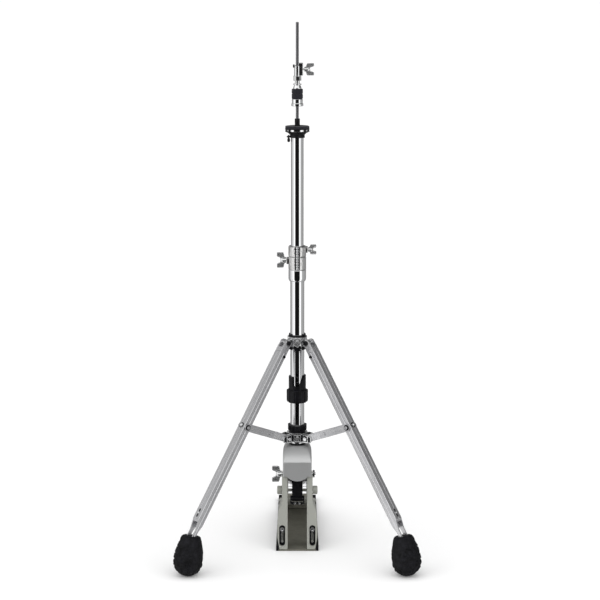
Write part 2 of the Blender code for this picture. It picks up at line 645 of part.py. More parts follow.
def make_hub(name, height, pivot_r, half_height, parent, ring_r, bore, bolt_half, bolt_name):
    """Ring on the tube with a lug for each leg, a square boss in front, and the pivot bolts."""
    hub = turned(name, ring(ring_r, bore, -half_height, half_height, 1.0), CHROME,
                 (0, 0, height), parent=parent, steps=20)
    for _, yaw in SIDES:
        outline = [(16.5, 5.5), (16.5, -5.5)] + arc((pivot_r, 0), 5.5, -90, 90, 9)
        fuse(hub, plate("lug", outline, 2 * LUG_HALF, None, (0, 0, height), (90, 0, yaw), parent))
    fuse(hub, box("front_boss", (13.5, 10.0, 2 * half_height - 1.6), parent=parent,
                  at=(0, -ring_r - 1.5, height)))
    for _, yaw in SIDES:
        cut(hub, rod("pivot_bore", 2.9, 30, at=polar(pivot_r, yaw, height), turn=(90, 0, yaw),
                     parent=parent, sides=12))
    for label, yaw in SIDES:
        pivot_bolt(label + bolt_name, polar(pivot_r, yaw, height), yaw, parent, bolt_half)


def make_lower_hub():
    swivel = empty("leg_swivel")
    pivot_r, height = BRACE_PIVOT
    make_hub("lower_hub", height, pivot_r, 8.4, swivel, 20.5, LOWER_R + RUN, BRACE_BAR[1],
             "_brace_bolt")
    collar = turned("lock_collar", [(14.7, 262.0), (18.4, 262.0), (18.4, 253.0), (17.2, 251.5),
                                    (17.2, 246.8), (14.7, 246.8)], BLACK, parent=swivel, steps=20)
    for index in range(6):
        yaw = 60.0 * index + 30.0
        fuse(collar, rod("lobe", 3.2, 8.0, at=polar(18.3, yaw, 257.6), parent=swivel, sides=12))
    return swivel


def make_upper_hub(swivel):
    pivot_r, height = HUB_PIVOT
    slide = empty("hub_slide", (0, 0, height), parent=swivel)
    bore = LOWER_R + RUN
    liner = bore + 1.3
    make_hub("leg_hub", 0, pivot_r, 10.0, slide, 20.0, liner + GAP, LEG_SIDE / 2 - 0.4,
             "_leg_bolt")
    # plastic bushing through the hub, with a flange above it and three tabs below it
    bushing = turned("hub_bushing", [(bore, 14.6), (18.0, 14.6), (18.0, 10.3), (liner, 10.3),
                                     (liner, -10.3), (17.4, -10.3), (17.4, -13.5),
                                     (bore, -13.5)], BLACK, parent=slide, steps=20)
    for yaw in (-90.0, -90.0 - LEG_AZIMUTH + 8, -90.0 + LEG_AZIMUTH - 8):
        fuse(bushing, box("tab", (5.0, 11.0, 3.2), at=polar(17.6, yaw, -12.0), turn=(0, 0, yaw),
                          parent=slide))
    return slide


def make_leg(label, yaw, slide):
    """A leg hangs along its pivot's -Z, with its outer face to +X."""
    frame = empty(label + "_leg_plane", turn=(0, 0, yaw), parent=slide)
    pivot = empty(label + "_leg_pivot", (HUB_PIVOT[0], 0, 0), (0, -LEG_TILT, 0), frame)
    half = LEG_SIDE / 2
    length = LEG_END - LEG_START
    leg = box(label + "_leg", (LEG_SIDE, LEG_SIDE, length), ALUMINIUM,
              (0, 0, -LEG_START - length / 2), parent=pivot)
    bevel(leg, 1.4, 2)
    hollow = LEG_SIDE - 2 * LEG_WALL
    cut(leg, box("leg_hollow", (hollow, hollow, length + 20), parent=pivot,
                 at=(0, 0, -LEG_START - length / 2)))
    # the end is cut away on its outer and inner face, so that a narrow tongue meets the foot
    outer_cut = [(half + 4, -398), (half - 1, -400), (3.2, -420), (3.2, -450), (half + 4, -450)]
    inner_cut = [(-half - 4, -408), (-half + 1, -410), (-5.0, -422), (-5.0, -450), (-half - 4, -450)]
    cut(leg, plate("outer_cut", outer_cut, 40, None, (0, 0, 0), (90, 0, 0), pivot),
        plate("inner_cut", inner_cut, 40, None, (0, 0, 0), (90, 0, 0), pivot))
    make_leg_bracket(label, pivot)
    make_foot(label, pivot)


def make_leg_bracket(label, pivot):
    """Clevis on the hub's lug, with a plug that goes into the top of the leg."""
    round_r = 7.6
    inner = LEG_SIDE - 2 * LEG_WALL - 2 * GAP
    outline = arc((0, 0), round_r, 0, 180, 9)
    outline += [(-8.4, -12), (-8.4, -LEG_START + GAP), (8.4, -LEG_START + GAP), (8.4, -12)]
    bracket = plate(label + "_leg_bracket", outline, 17.2, ALUMINIUM, turn=(90, 0, 0),
                    parent=pivot)
    fuse(bracket, box("plug", (inner, inner, 20), at=(0, 0, -LEG_START - 6), parent=pivot))
    cut(bracket, box("lug_room", (30, 2 * CHEEK_IN, 34), at=(0, 0, 4.0), parent=pivot),
        rod("pivot_bore", 2.9, 40, turn=(90, 0, 0), parent=pivot, sides=12))


def pivot_bolt(name, at, yaw, parent, half_width):
    """Bolt across a clevis, with its head and its nut outside the cheeks."""
    half = half_width + GAP
    profile = [(0, half + 3.0), (4.4, half + 3.0), (5.0, half + 2.4), (5.0, half), (2.5, half),
               (2.5, -half), (4.8, -half), (4.8, -half - 3.0), (0, -half - 3.0)]
    return turned(name, profile, BLACK, at, (90, 0, yaw), parent, steps=12)


def leg_point(point):
    """A point of the leg's plane, in the tilted frame of the leg."""
    tilt = math.radians(LEG_TILT)
    out, up = point[0] - HUB_PIVOT[0], point[1] - HUB_PIVOT[1]
    return (out * math.cos(tilt) + up * math.sin(tilt), 0,
            -(out * math.sin(tilt) - up * math.cos(tilt)))


def make_foot(label, pivot):
    """Rubber foot: a ball on the floor that narrows upwards to the end of the leg."""
    lean = line_angle((FOOT_TOP[0], FOOT_TOP[1]), FOOT_BALL)
    tall = math.dist(FOOT_TOP, FOOT_BALL)
    profile = [(0.0, tall), (15.2, tall), (17.0, tall - 2.2), (21.5, tall - 12.0),
               (25.6, tall - 24.0), (28.2, tall - 37.0), (FOOT_R, tall - 47.0)]
    profile += [(FOOT_R * math.cos(math.radians(a)), -FOOT_R * math.sin(math.radians(a)))
                for a in (0, 18, 36, 54, 70, 82)]
    profile.append((0.0, -FOOT_R))
    foot = turned(label + "_foot", profile, RUBBER, leg_point(FOOT_BALL),
                  (0, LEG_TILT - lean, 0), pivot, steps=16)
    socket = box("foot_socket", (11.2, LEG_SIDE + 2 * GAP, 60), at=(-0.9, 0, -418), parent=pivot)
    cut(foot, socket)


def make_brace(label, yaw, swivel):
    """A brace runs along its pivot's +X; its two bars pass beside the leg."""
    frame = empty(label + "_brace_plane", turn=(0, 0, yaw), parent=swivel)
    pivot = empty(label + "_brace_pivot", (BRACE_PIVOT[0], 0, BRACE_PIVOT[1]),
                  (0, -BRACE_RISE, 0), frame)
    low, high = BRACE_BAR
    half = BRACE_HEIGHT / 2
    seam = 32.5
    outline = arc((0, 0), 6.8, 90, 270, 9) + [(12, -half), (seam, -half), (seam, half), (12, half)]
    bracket = plate(label + "_brace_bracket", outline, 2 * high, ALUMINIUM, turn=(90, 0, 0),
                    parent=pivot)
    fuse(bracket, box("tongue", (24, 2 * (low - GAP), 12), at=(seam + 6, 0, 0), parent=pivot))
    cut(bracket, box("lug_room", (34, 2 * CHEEK_IN, 30), at=(-4, 0, 0), parent=pivot),
        rod("pivot_bore", 2.9, 40, turn=(90, 0, 0), parent=pivot, sides=12))
    reach = BRACE_LENGTH
    bar = [(seam + GAP, -half), (reach, -half)] + arc((reach, 0), half, -90, 90, 9)[1:-1] + [
        (reach, half), (seam + GAP, half)]
    # the two bars are joined by a rivet through the bracket's tongue
    tongue_rivet = (43.0, 0, 0)
    brace = rod(label + "_brace", 2.2, 2 * high + 1.6, ALUMINIUM, tongue_rivet, (90, 0, 0), pivot)
    for side in (-1, 1):
        strip = plate("bar", bar, high - low, None, (0, side * (low + high) / 2, 0), (90, 0, 0),
                      pivot)
        rivet = hex_bolt("rivet", None, (reach, side * (high - 0.5), 0), (side * -90, 0, 0), pivot,
                         4.4, 2.7)
        fuse(brace, strip, rivet)
    cut(bracket, rod("rivet_bore", 2.6, 40, at=tongue_rivet, turn=(90, 0, 0), parent=pivot))


def make_stand():
    make_base()
    make_heel()
    make_yoke()
    make_spurs()
    make_hood()
    make_frame_bolt()
    make_footboard()
    make_pull_rod()
    make_lower_tube()
    make_tube_clamp()
    make_memory_lock()
    make_upper_tube()
    make_tension()
    swivel = make_lower_hub()
    slide = make_upper_hub(swivel)
    for label, yaw in SIDES:
        make_leg(label, yaw, slide)
        make_brace(label, yaw, swivel)


for item in list(bpy.data.objects):
    bpy.data.objects.remove(item, do_unlink=True)

PARTS = new_collection("hi_hat_stand")
TOOLS = new_collection("cutters")
CHROME = finish("chrome", (0.80, 0.80, 0.82), 0.08, 1.0)
STEEL = finish("steel", (0.55, 0.55, 0.57), 0.30, 1.0)
ALUMINIUM = finish("aluminium", (0.78, 0.78, 0.80), 0.25, 1.0)
CASTING = finish("painted_casting", (0.42, 0.42, 0.40), 0.45, 0.3)
PLATE = finish("dark_plate", (0.10, 0.10, 0.09), 0.40, 0.3)
BLACK = finish("black_plastic", (0.02, 0.02, 0.025), 0.40, 0.0)
RUBBER = finish("rubber", (0.015, 0.015, 0.018), 0.70, 0.0)
FELT = finish("felt", (0.06, 0.06, 0.07), 0.95, 0.0)

make_stand()
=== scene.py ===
import json
import math

import bmesh
import bpy
from mathutils import Matrix, Vector, noise


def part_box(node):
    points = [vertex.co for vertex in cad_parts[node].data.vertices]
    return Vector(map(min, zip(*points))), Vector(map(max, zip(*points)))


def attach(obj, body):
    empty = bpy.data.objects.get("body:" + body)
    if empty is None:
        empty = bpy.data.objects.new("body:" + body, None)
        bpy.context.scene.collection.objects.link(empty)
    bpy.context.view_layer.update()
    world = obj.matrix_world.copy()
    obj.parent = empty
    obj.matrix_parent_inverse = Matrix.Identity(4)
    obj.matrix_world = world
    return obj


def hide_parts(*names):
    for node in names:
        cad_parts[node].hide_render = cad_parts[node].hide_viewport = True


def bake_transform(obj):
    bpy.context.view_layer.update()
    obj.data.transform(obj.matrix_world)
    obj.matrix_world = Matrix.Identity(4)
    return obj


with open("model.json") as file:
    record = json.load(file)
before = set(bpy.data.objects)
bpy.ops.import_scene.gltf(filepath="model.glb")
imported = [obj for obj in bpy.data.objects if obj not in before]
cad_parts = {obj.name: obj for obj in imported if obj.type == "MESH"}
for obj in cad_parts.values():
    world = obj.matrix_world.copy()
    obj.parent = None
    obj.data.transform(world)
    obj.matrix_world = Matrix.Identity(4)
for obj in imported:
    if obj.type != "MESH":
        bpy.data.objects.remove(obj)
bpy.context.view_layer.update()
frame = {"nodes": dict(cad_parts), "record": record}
NODES = frame["nodes"]
SLOT_OF = {part["node"]: part["material_slot"] for part in frame["record"]["subparts"]}

# Everything below is in millimetres, in the frame's own axes; MM turns it into metres.
MM = 0.001
ROUND = 72                    # facets round a turned piece


def extent(node):
    """Lowest and highest corner of a CAD node, in millimetres."""
    low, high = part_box(node)
    return low / MM, high / MM


def bottom(node):
    return extent(node)[0].z


def top(node):
    return extent(node)[1].z


def outer(node):
    """Outside radius of a round CAD node that stands on the Z axis."""
    return extent(node)[1].y


# tripod geometry in the plane of a leg: distance from the tube's axis, and height
LEG_AZIMUTH = 49.0
HUB_PIVOT = (31.0, 437.0)
BRACE_PIVOT = (34.0, 238.4)
LEG_PIN = (140.4, 279.5)
SIDES = (("left", -90.0 - LEG_AZIMUTH), ("right", -90.0 + LEG_AZIMUTH))
LEG_TILT = math.atan2(LEG_PIN[0] - HUB_PIVOT[0], HUB_PIVOT[1] - LEG_PIN[1])
LEG_PIN_DISTANCE = math.dist(HUB_PIVOT, LEG_PIN)
BRACE_LENGTH = math.dist(BRACE_PIVOT, LEG_PIN)
BRACE_RISE = math.asin((LEG_PIN[1] - BRACE_PIVOT[1]) / BRACE_LENGTH)
LEG_SIDE, LEG_WALL = 18.0, 1.7
LEG_START, LEG_END = 22.3, 436.0
FOOT_TOP, FOOT_BALL = (277.5, 80.0), (287.0, 29.0)


# ---------------------------------------------------------------- placing

def shift(x, y, z):
    return Matrix.Translation((x, y, z))


def turn(axis, degrees):
    return Matrix.Rotation(math.radians(degrees), 4, axis)


# these turn +Z to the front (-Y), to the right (+X) and to the left (-X)
TO_FRONT, TO_RIGHT, TO_LEFT = turn("X", 90), turn("Y", 90), turn("Y", -90)


def leg_frame(yaw):
    """The leg hangs along -Z of this frame, with its outer face to +X."""
    return (turn("Z", yaw) @ shift(HUB_PIVOT[0], 0, HUB_PIVOT[1])
            @ turn("Y", -math.degrees(LEG_TILT)))


def brace_frame(yaw):
    """The brace runs along +X of this frame."""
    return (turn("Z", yaw) @ shift(BRACE_PIVOT[0], 0, BRACE_PIVOT[1])
            @ turn("Y", -math.degrees(BRACE_RISE)))


def polar(distance, degrees, height=0.0):
    angle = math.radians(degrees)
    return (distance * math.cos(angle), distance * math.sin(angle), height)


def beside(distance, degrees, height):
    """Frame beside the Z axis, with its own +X pointing away from it."""
    return shift(*polar(distance, degrees, height)) @ turn("Z", degrees)


# ---------------------------------------------------------------- outlines

def arc(centre, radius, start, end, count=10):
    step = (end - start) / (count - 1)
    angles = [math.radians(start + step * i) for i in range(count)]
    return [(centre[0] + radius * math.cos(a), centre[1] + radius * math.sin(a)) for a in angles]


def rounded(points, radius, count=4, closed=True):
    """The outline with each corner eased over about the given radius."""
    eased = []
    last = len(points) - 1
    for index, point in enumerate(points):
        here = Vector(point)
        before, after = Vector(points[index - 1]), Vector(points[(index + 1) % len(points)])
        if not closed and index in (0, last):
            eased.append(tuple(here))
            continue
        back, forth = before - here, after - here
        reach = min(radius, 0.45 * back.length, 0.45 * forth.length)
        first, second = here + back.normalized() * reach, here + forth.normalized() * reach
        for step in range(count + 1):
            t = step / count
            eased.append(tuple(first * (1 - t) ** 2 + here * 2 * t * (1 - t) + second * t ** 2))
    return eased


def stepped(points, spacing):
    """The line with points about the spacing apart, close enough to carry a relief."""
    fine = []
    for first, second in zip(points, points[1:]):
        steps = max(1, int(math.dist(first, second) / spacing))
        for step in range(steps):
            t = step / steps
            fine.append((first[0] + (second[0] - first[0]) * t,
                         first[1] + (second[1] - first[1]) * t))
    return fine + [points[-1]]


def ring(outside, bore, low, high, edge=0.6):
    """Profile of a sleeve with eased edges, down the outside and up the bore."""
    inner = min(edge, 0.4 * (outside - bore))
    return rounded([(bore, high), (outside, high), (outside, low), (bore, low)], inner)


# ---------------------------------------------------------------- shapes

def lathe(profile, where=Matrix(), facets=ROUND, wave=None):
    """Turned solid about Z.  wave(angle, radius, height) may return a changed radius."""
    form = bmesh.new()
    loops = []
    for radius, height in profile:
        if radius < 1e-6:
            loops.append([form.verts.new((0, 0, height))])
            continue
        loop = []
        for step in range(facets):
            angle = 2 * math.pi * step / facets
            reach = wave(angle, radius, height) if wave else radius
            loop.append(form.verts.new((reach * math.cos(angle), reach * math.sin(angle), height)))
        loops.append(loop)
    pairs = list(zip(loops, loops[1:]))
    if profile[0][0] > 1e-6:
        pairs.append((loops[-1], loops[0]))
    for upper, lower in pairs:
        for step in range(facets):
            after = (step + 1) % facets
            ends = [upper[step % len(upper)], upper[after % len(upper)],
                    lower[after % len(lower)], lower[step % len(lower)]]
            form.faces.new(list(dict.fromkeys(ends)))
    bmesh.ops.recalc_face_normals(form, faces=form.faces)
    form.transform(where)
    return form


def spindle(points, ease, count=4, where=Matrix(), facets=ROUND):
    """Turned solid with eased corners, closed onto the axis at both ends of its outline."""
    start, end = (0, points[0][1]), (0, points[-1][1])
    return lathe([start] + rounded(points, ease, count, closed=False) + [end], where, facets)


def cylinder(radius, low, high, where=Matrix(), facets=ROUND):
    """Plain cylinder about Z between two heights; also the cutter for a bore."""
    return lathe([(0, high), (radius, high), (radius, low), (0, low)], where, facets)


def prism(outline, thickness, where=Matrix(), ease=0.4, segments=2):
    """Flat outline in XY, thick along Z about its middle, with eased edges."""
    form = bmesh.new()
    face = form.faces.new([form.verts.new((x, y, -thickness / 2)) for x, y in outline])
    lifted = bmesh.ops.extrude_face_region(form, geom=[face])["geom"]
    moved = [item for item in lifted if isinstance(item, bmesh.types.BMVert)]
    bmesh.ops.translate(form, verts=moved, vec=(0, 0, thickness))
    bmesh.ops.recalc_face_normals(form, faces=form.faces)
    if ease:
        soften(form, ease, segments)
    form.transform(where)
    return form


def block(size, where=Matrix(), ease=0.5, segments=2):
    x, y, z = size
    outline = [(-x / 2, -y / 2), (x / 2, -y / 2), (x / 2, y / 2), (-x / 2, y / 2)]
    return prism(outline, z, where, ease, segments)


def loft(sections):
    """Solid through closed sections that have the same number of points."""
    form = bmesh.new()
    loops = [[form.verts.new(point) for point in section] for section in sections]
    for lower, upper in zip(loops, loops[1:]):
        for step in range(len(lower)):
            after = (step + 1) % len(lower)
            form.faces.new((lower[step], lower[after], upper[after], upper[step]))
    form.faces.new(list(reversed(loops[0])))
    form.faces.new(loops[-1])
    bmesh.ops.recalc_face_normals(form, faces=form.faces)
    return form


def soften(form, width, segments=2, angle=28.0):
    """Eases every edge that is sharper than the angle."""
    limit = math.radians(angle)
    edges = [e for e in form.edges if len(e.link_faces) == 2 and e.calc_face_angle(0) > limit]
    bmesh.ops.bevel(form, geom=edges, offset=width, segments=segments, profile=0.5,
                    affect="EDGES", clamp_overlap=True)


def helix(radius, wire, low, high, turns, around=10, per_turn=28):
    """Coil of round wire about Z."""
    form = bmesh.new()
    count = int(turns * per_turn)
    previous = None
    for step in range(count + 1):
        share = step / count
        angle = 2 * math.pi * turns * share
        centre = Vector(polar(radius, math.degrees(angle), low + (high - low) * share))
        outward = Vector((math.cos(angle), math.sin(angle), 0))
        loop = []
        for side in range(around):
            bend = 2 * math.pi * side / around
            offset = outward * wire * math.cos(bend) + Vector((0, 0, wire * math.sin(bend)))
            loop.append(form.verts.new(centre + offset))
        if previous is None:
            form.faces.new(loop)
        else:
            for side in range(around):
                after = (side + 1) % around
                form.faces.new((previous[side], previous[after], loop[after], loop[side]))
        previous = loop
    form.faces.new(list(reversed(previous)))
    bmesh.ops.recalc_face_normals(form, faces=form.faces)
    return form


def as_object(form, name="work"):
    mesh = bpy.data.meshes.new(name)
    form.to_mesh(mesh)
    form.free()
    obj = bpy.data.objects.new(name, mesh)
    bpy.context.scene.collection.objects.link(obj)
    return obj


def joined(*forms):
    """One form that holds them all."""
    whole = forms[0]
    for form in forms[1:]:
        mesh = bpy.data.meshes.new("work")
        form.to_mesh(mesh)
        form.free()
        whole.from_mesh(mesh)
        bpy.data.meshes.remove(mesh)
    return whole


def boolean(form, tool, operation):
    body, other = as_object(form), as_object(tool)
    modifier = body.modifiers.new("Boolean", "BOOLEAN")
    modifier.operation = operation
    modifier.object = other
    modifier.solver = "EXACT"
    graph = bpy.context.evaluated_depsgraph_get()
    mesh = bpy.data.meshes.new_from_object(body.evaluated_get(graph))
    result = bmesh.new()
    result.from_mesh(mesh)
    for obj in (body, other):
        data = obj.data
        bpy.data.objects.remove(obj)
        bpy.data.meshes.remove(data)
    bpy.data.meshes.remove(mesh)
    bmesh.ops.dissolve_degenerate(result, dist=1e-4, edges=result.edges)
    return result


def carve(form, *tools):
    for tool in tools:
        form = boolean(form, tool, "DIFFERENCE")
    return form


def weld(form, *others):
    for other in others:
        form = boolean(form, other, "UNION")
    return form


def piece(name, form, body, material, stands_for=(), where=Matrix()):
    """Puts a finished form into the scene; the form is in millimetres.
    body is a body's name, which the piece is parented to; given instead two bodies and their
    heights on the Z axis, the piece is left unparented with its placement baked in, and those
    values are not used."""
    form.transform(Matrix.Scale(MM, 4))
    obj = as_object(form, name)
    placed = where.copy()
    placed.translation = where.translation * MM
    obj.matrix_world = placed
    obj.data.shade_smooth()
    obj.data.set_sharp_from_angle(angle=math.radians(40))
    shade_flat_faces(obj, True)
    obj.data.materials.append(material)
    if isinstance(body, str):
        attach(obj, body)
    else:
        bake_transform(obj)
    if stands_for:
        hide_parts(*stands_for)
    return obj


def shade_flat_faces(obj, keep_sharp):
    """Weights the normals by area, so that flat faces look flat beside eased edges."""
    weighted = obj.modifiers.new("Normals", "WEIGHTED_NORMAL")
    weighted.keep_sharp = keep_sharp
    weighted.mode = "FACE_AREA"


def dress(node, material, ease=0.35):
    """Keeps a CAD node, with its edges eased and a material of its own."""
    obj = NODES[node]
    mesh = obj.data
    if "custom_normal" in mesh.attributes:
        mesh.attributes.remove(mesh.attributes["custom_normal"])
    mesh.shade_smooth()
    mesh.materials.clear()
    mesh.materials.append(material)
    welder = obj.modifiers.new("Weld", "WELD")
    welder.merge_threshold = 0.00002
    flat = obj.modifiers.new("Flat", "DECIMATE")
    flat.decimate_type = "DISSOLVE"
    flat.angle_limit = math.radians(1.0)
    if ease:
        edges = obj.modifiers.new("Edges", "BEVEL")
        edges.width = ease * MM
        edges.segments = 2
        edges.limit_method = "ANGLE"
        edges.angle_limit = math.radians(32)
    shade_flat_faces(obj, False)


# ---------------------------------------------------------------- materials

class Finish:
    """A Principled material with helpers for procedural detail, in object coordinates."""

    def __init__(self, name, colour, roughness, metallic=0.0):
        self.material = bpy.data.materials.new(name)
        self.material.use_nodes = True
        self.nodes = self.material.node_tree.nodes
        self.links = self.material.node_tree.links
        self.shader = self.nodes["Principled BSDF"]
        self.shader.inputs["Base Color"].default_value = (*colour, 1)
        self.shader.inputs["Roughness"].default_value = roughness
        self.shader.inputs["Metallic"].default_value = metallic
        self.coords = self.nodes.new("ShaderNodeTexCoord").outputs["Object"]
        self.last_bump = None

    def noise(self, scale, detail=3.0, stretch=(1, 1, 1)):
        """Noise with about one feature per 1/scale metres; stretch scales each axis."""
        mapping = self.nodes.new("ShaderNodeMapping")
        mapping.inputs["Scale"].default_value = stretch
        self.links.new(self.coords, mapping.inputs["Vector"])
        texture = self.nodes.new("ShaderNodeTexNoise")
        texture.inputs["Scale"].default_value = scale
        texture.inputs["Detail"].default_value = detail
        self.links.new(mapping.outputs["Vector"], texture.inputs["Vector"])
        return texture.outputs["Fac"]

    def cells(self, scale):
        texture = self.nodes.new("ShaderNodeTexVoronoi")
        texture.inputs["Scale"].default_value = scale
        self.links.new(self.coords, texture.inputs["Vector"])
        return texture.outputs["Distance"]

    def ramp(self, value, low, high, start=0.3, end=0.7):
        """Value of a pattern spread from low to high."""
        spread = self.nodes.new("ShaderNodeMapRange")
        spread.inputs["From Min"].default_value = start
        spread.inputs["From Max"].default_value = end
        spread.inputs["To Min"].default_value = low
        spread.inputs["To Max"].default_value = high
        self.links.new(value, spread.inputs["Value"])
        return spread.outputs["Result"]

    def vary_roughness(self, value, low, high):
        self.links.new(self.ramp(value, low, high), self.shader.inputs["Roughness"])
        return self

    def vary_colour(self, value, first, second, start=0.35, end=0.65):
        colours = self.nodes.new("ShaderNodeValToRGB")
        colours.color_ramp.elements[0].position = start
        colours.color_ramp.elements[0].color = (*first, 1)
        colours.color_ramp.elements[1].position = end
        colours.color_ramp.elements[1].color = (*second, 1)
        self.links.new(value, colours.inputs["Fac"])
        self.links.new(colours.outputs["Color"], self.shader.inputs["Base Color"])
        return self

    def bump(self, value, strength, distance):
        """Relief; distance is the height of the pattern in millimetres."""
        node = self.nodes.new("ShaderNodeBump")
        node.inputs["Strength"].default_value = strength
        node.inputs["Distance"].default_value = distance * MM
        self.links.new(value, node.inputs["Height"])
        if self.last_bump:
            self.links.new(self.last_bump, node.inputs["Normal"])
        self.last_bump = node.outputs["Normal"]
        self.links.new(self.last_bump, self.shader.inputs["Normal"])
        return self

    def set(self, **sockets):
        for name, value in sockets.items():
            self.shader.inputs[name.replace("_", " ")].default_value = value
        return self


def surface(name, colour, roughness, metallic, rough=None, tint=None, relief=None, **sockets):
    """Material from three patterns, each a noise scale and detail, two values and a stretch:
    rough gives its lowest and highest roughness, tint its two colours, and relief its strength
    and height in millimetres; relief without a detail is dimples."""
    finish = Finish(name, colour, roughness, metallic)
    if rough:
        scale, detail, low, high, *stretch = rough
        finish.vary_roughness(finish.noise(scale, detail, *stretch), low, high)
    if tint:
        scale, detail, first, second, *stretch = tint
        finish.vary_colour(finish.noise(scale, detail, *stretch), first, second)
    if relief:
        scale, detail, strength, height, *stretch = relief
        pattern = finish.noise(scale, detail, *stretch) if detail else finish.cells(scale)
        finish.bump(pattern, strength, height)
    finish.set(**sockets)
    return finish.material


def aluminium(name, grain, low=0.60, high=0.72):
    """Extruded or drawn bar; grain squeezes the noise along the bar's own axis."""
    return surface(name, (0.80, 0.81, 0.83), 0.27, 0.91, (700, 4, 0.20, 0.34, grain),
                   (500, 5, (low, low, low + 0.02), (high, high, high + 0.01), grain),
                   (1500, 3, 0.30, 0.02, grain))


CHROME = surface("chrome_plate", (0.86, 0.865, 0.875), 0.06, 1.0, (70, 4, 0.035, 0.10),
                 relief=(260, 2, 0.15, 0.02))
# plated castings follow a slightly uneven or a dimpled skin
PLATED = surface("plated_casting", (0.78, 0.785, 0.79), 0.14, 1.0, (160, 4, 0.09, 0.22),
                 relief=(420, 3, 0.35, 0.06))
DIMPLED = surface("dimpled_casting", (0.70, 0.695, 0.69), 0.20, 1.0, (300, 3, 0.14, 0.26),
                  relief=(420, None, 0.9, 0.35))
STEEL = surface("drawn_steel", (0.22, 0.22, 0.23), 0.22, 1.0, (900, 3, 0.16, 0.34, (1, 1, 0.04)),
                relief=(1400, 2, 0.25, 0.02, (1, 1, 0.03)))
ALUMINIUM = aluminium("satin_extrusion", (1, 1, 0.02))
BAR = aluminium("satin_bar", (0.02, 1, 1), 0.56, 0.66)
BRIGHT = aluminium("bright_fork", (0.3, 1, 0.3), 0.62, 0.74)
CASTING = surface("silver_powder_coat", (0.32, 0.325, 0.295), 0.42, 0.2, (500, 3, 0.34, 0.50),
                  (1800, 4, (0.285, 0.29, 0.26), (0.355, 0.36, 0.33)), (1300, 4, 0.45, 0.05))
LACQUER = surface("silver_lacquer", (0.46, 0.465, 0.465), 0.31, 0.6, (300, 3, 0.29, 0.36),
                  (1700, 2, (0.45, 0.455, 0.455), (0.47, 0.475, 0.475)))
SATIN = surface("satin_cast", (0.84, 0.845, 0.85), 0.20, 0.9, (220, 4, 0.16, 0.26),
                relief=(240, 3, 0.8, 0.28))
PLATE = surface("olive_grey_plate", (0.17, 0.166, 0.138), 0.36, 0.3, (220, 4, 0.28, 0.44),
                (30, 6, (0.145, 0.141, 0.118), (0.195, 0.190, 0.160)), (1600, 3, 0.35, 0.04))
PLASTIC = surface("black_nylon", (0.006, 0.006, 0.008), 0.38, 0.0, (320, 4, 0.30, 0.48),
                  (140, 4, (0.002, 0.002, 0.0025), (0.005, 0.005, 0.007)),
                  (1500, 3, 0.40, 0.04), Specular_IOR_Level=0.22)
RUBBER = surface("black_rubber", (0.007, 0.007, 0.009), 0.62, 0.0, (240, 4, 0.50, 0.76),
                 (90, 5, (0.002, 0.002, 0.0025), (0.006, 0.006, 0.008)),
                 (900, 4, 0.60, 0.12), Specular_IOR_Level=0.22)
FELT = surface("grey_felt", (0.020, 0.020, 0.025), 0.95, 0.0, None,
               (1100, 6, (0.005, 0.005, 0.007), (0.020, 0.020, 0.026), (1, 1, 2.5)),
               (1600, 5, 0.9, 0.35, (1, 1, 2.5)),
               Sheen_Weight=0.10, Sheen_Roughness=0.5, Specular_IOR_Level=0.2)
FINISHES = {"chrome": CHROME, "steel": STEEL, "aluminium": ALUMINIUM, "grey_casting": CASTING,
            "dark_plate": PLATE, "black_plastic": PLASTIC, "rubber": RUBBER, "felt": FELT}


# ---------------------------------------------------------------- shared fasteners

def wing_form(scale, hub, tall, reach=1.0):
    """Wing screw head that points along +Z from its seat at the origin; the wings lie in YZ."""
    half = [(0.5, 5.2), (3.4, 6.6), (5.6, 15.8), (19.4, 16.0), (19.6, 7.8), (12.0, 4.4)]
    outline = half + [(z, -y) for z, y in reversed(half)]
    outline = rounded([(z * scale, y * scale) for z, y in outline], 1.8 * scale, 5)
    # the outline's X runs along the screw
    lay = TO_LEFT
    wings = prism(outline, 4.0 * scale, lay, 0.9 * scale, 3)
    for flip in (-1, 1):
        pad = [(6.0, 9.0), (7.0, 14.0), (17.6, 14.3), (17.8, 9.2), (12.0, 6.6)]
        pad = rounded([(z * scale, flip * y * scale) for z, y in pad], 1.4 * scale, 4)
        for side in (-1, 1):
            recess = prism(pad, 1.2 * scale, shift(0, 0, side * 2.0 * scale), 0)
            recess.transform(lay)
            wings = carve(wings, recess)
    head = spindle([(hub * 0.62, tall), (hub, tall * 0.72), (hub, 0.5)], 1.0, facets=48)
    head = weld(head, wings)
    head.transform(Matrix.Diagonal((1, 1, reach, 1)))
    return head


def hex_head(radius, height, where):
    """Hexagon bolt head with a chamfered top, on its seat at the origin."""
    outline = [polar(radius, 60 * i)[:2] for i in range(6)]
    head = prism(outline, height, where @ shift(0, 0, height / 2), 0.5, 2)
    return head


def cap_screw(radius, height, where, socket=2.0):
    """Round screw head with a hexagon socket."""
    head = spindle([(radius * 0.9, height), (radius, height * 0.7), (radius, 0)], 0.6, facets=40)
    if socket:
        hole = prism([polar(socket, 60 * i)[:2] for i in range(6)], height, shift(0, 0, height), 0)
        head = carve(head, hole)
    head.transform(where)
    return head


# ---------------------------------------------------------------- tubes and rods

AXIS = Matrix()
BLADE = turn("Z", 90) @ TO_FRONT        # outline (x, y) to the frame's (Y, Z)
TUBE_SLOT = (7.0, 273.0, 373.0)         # width, bottom and top


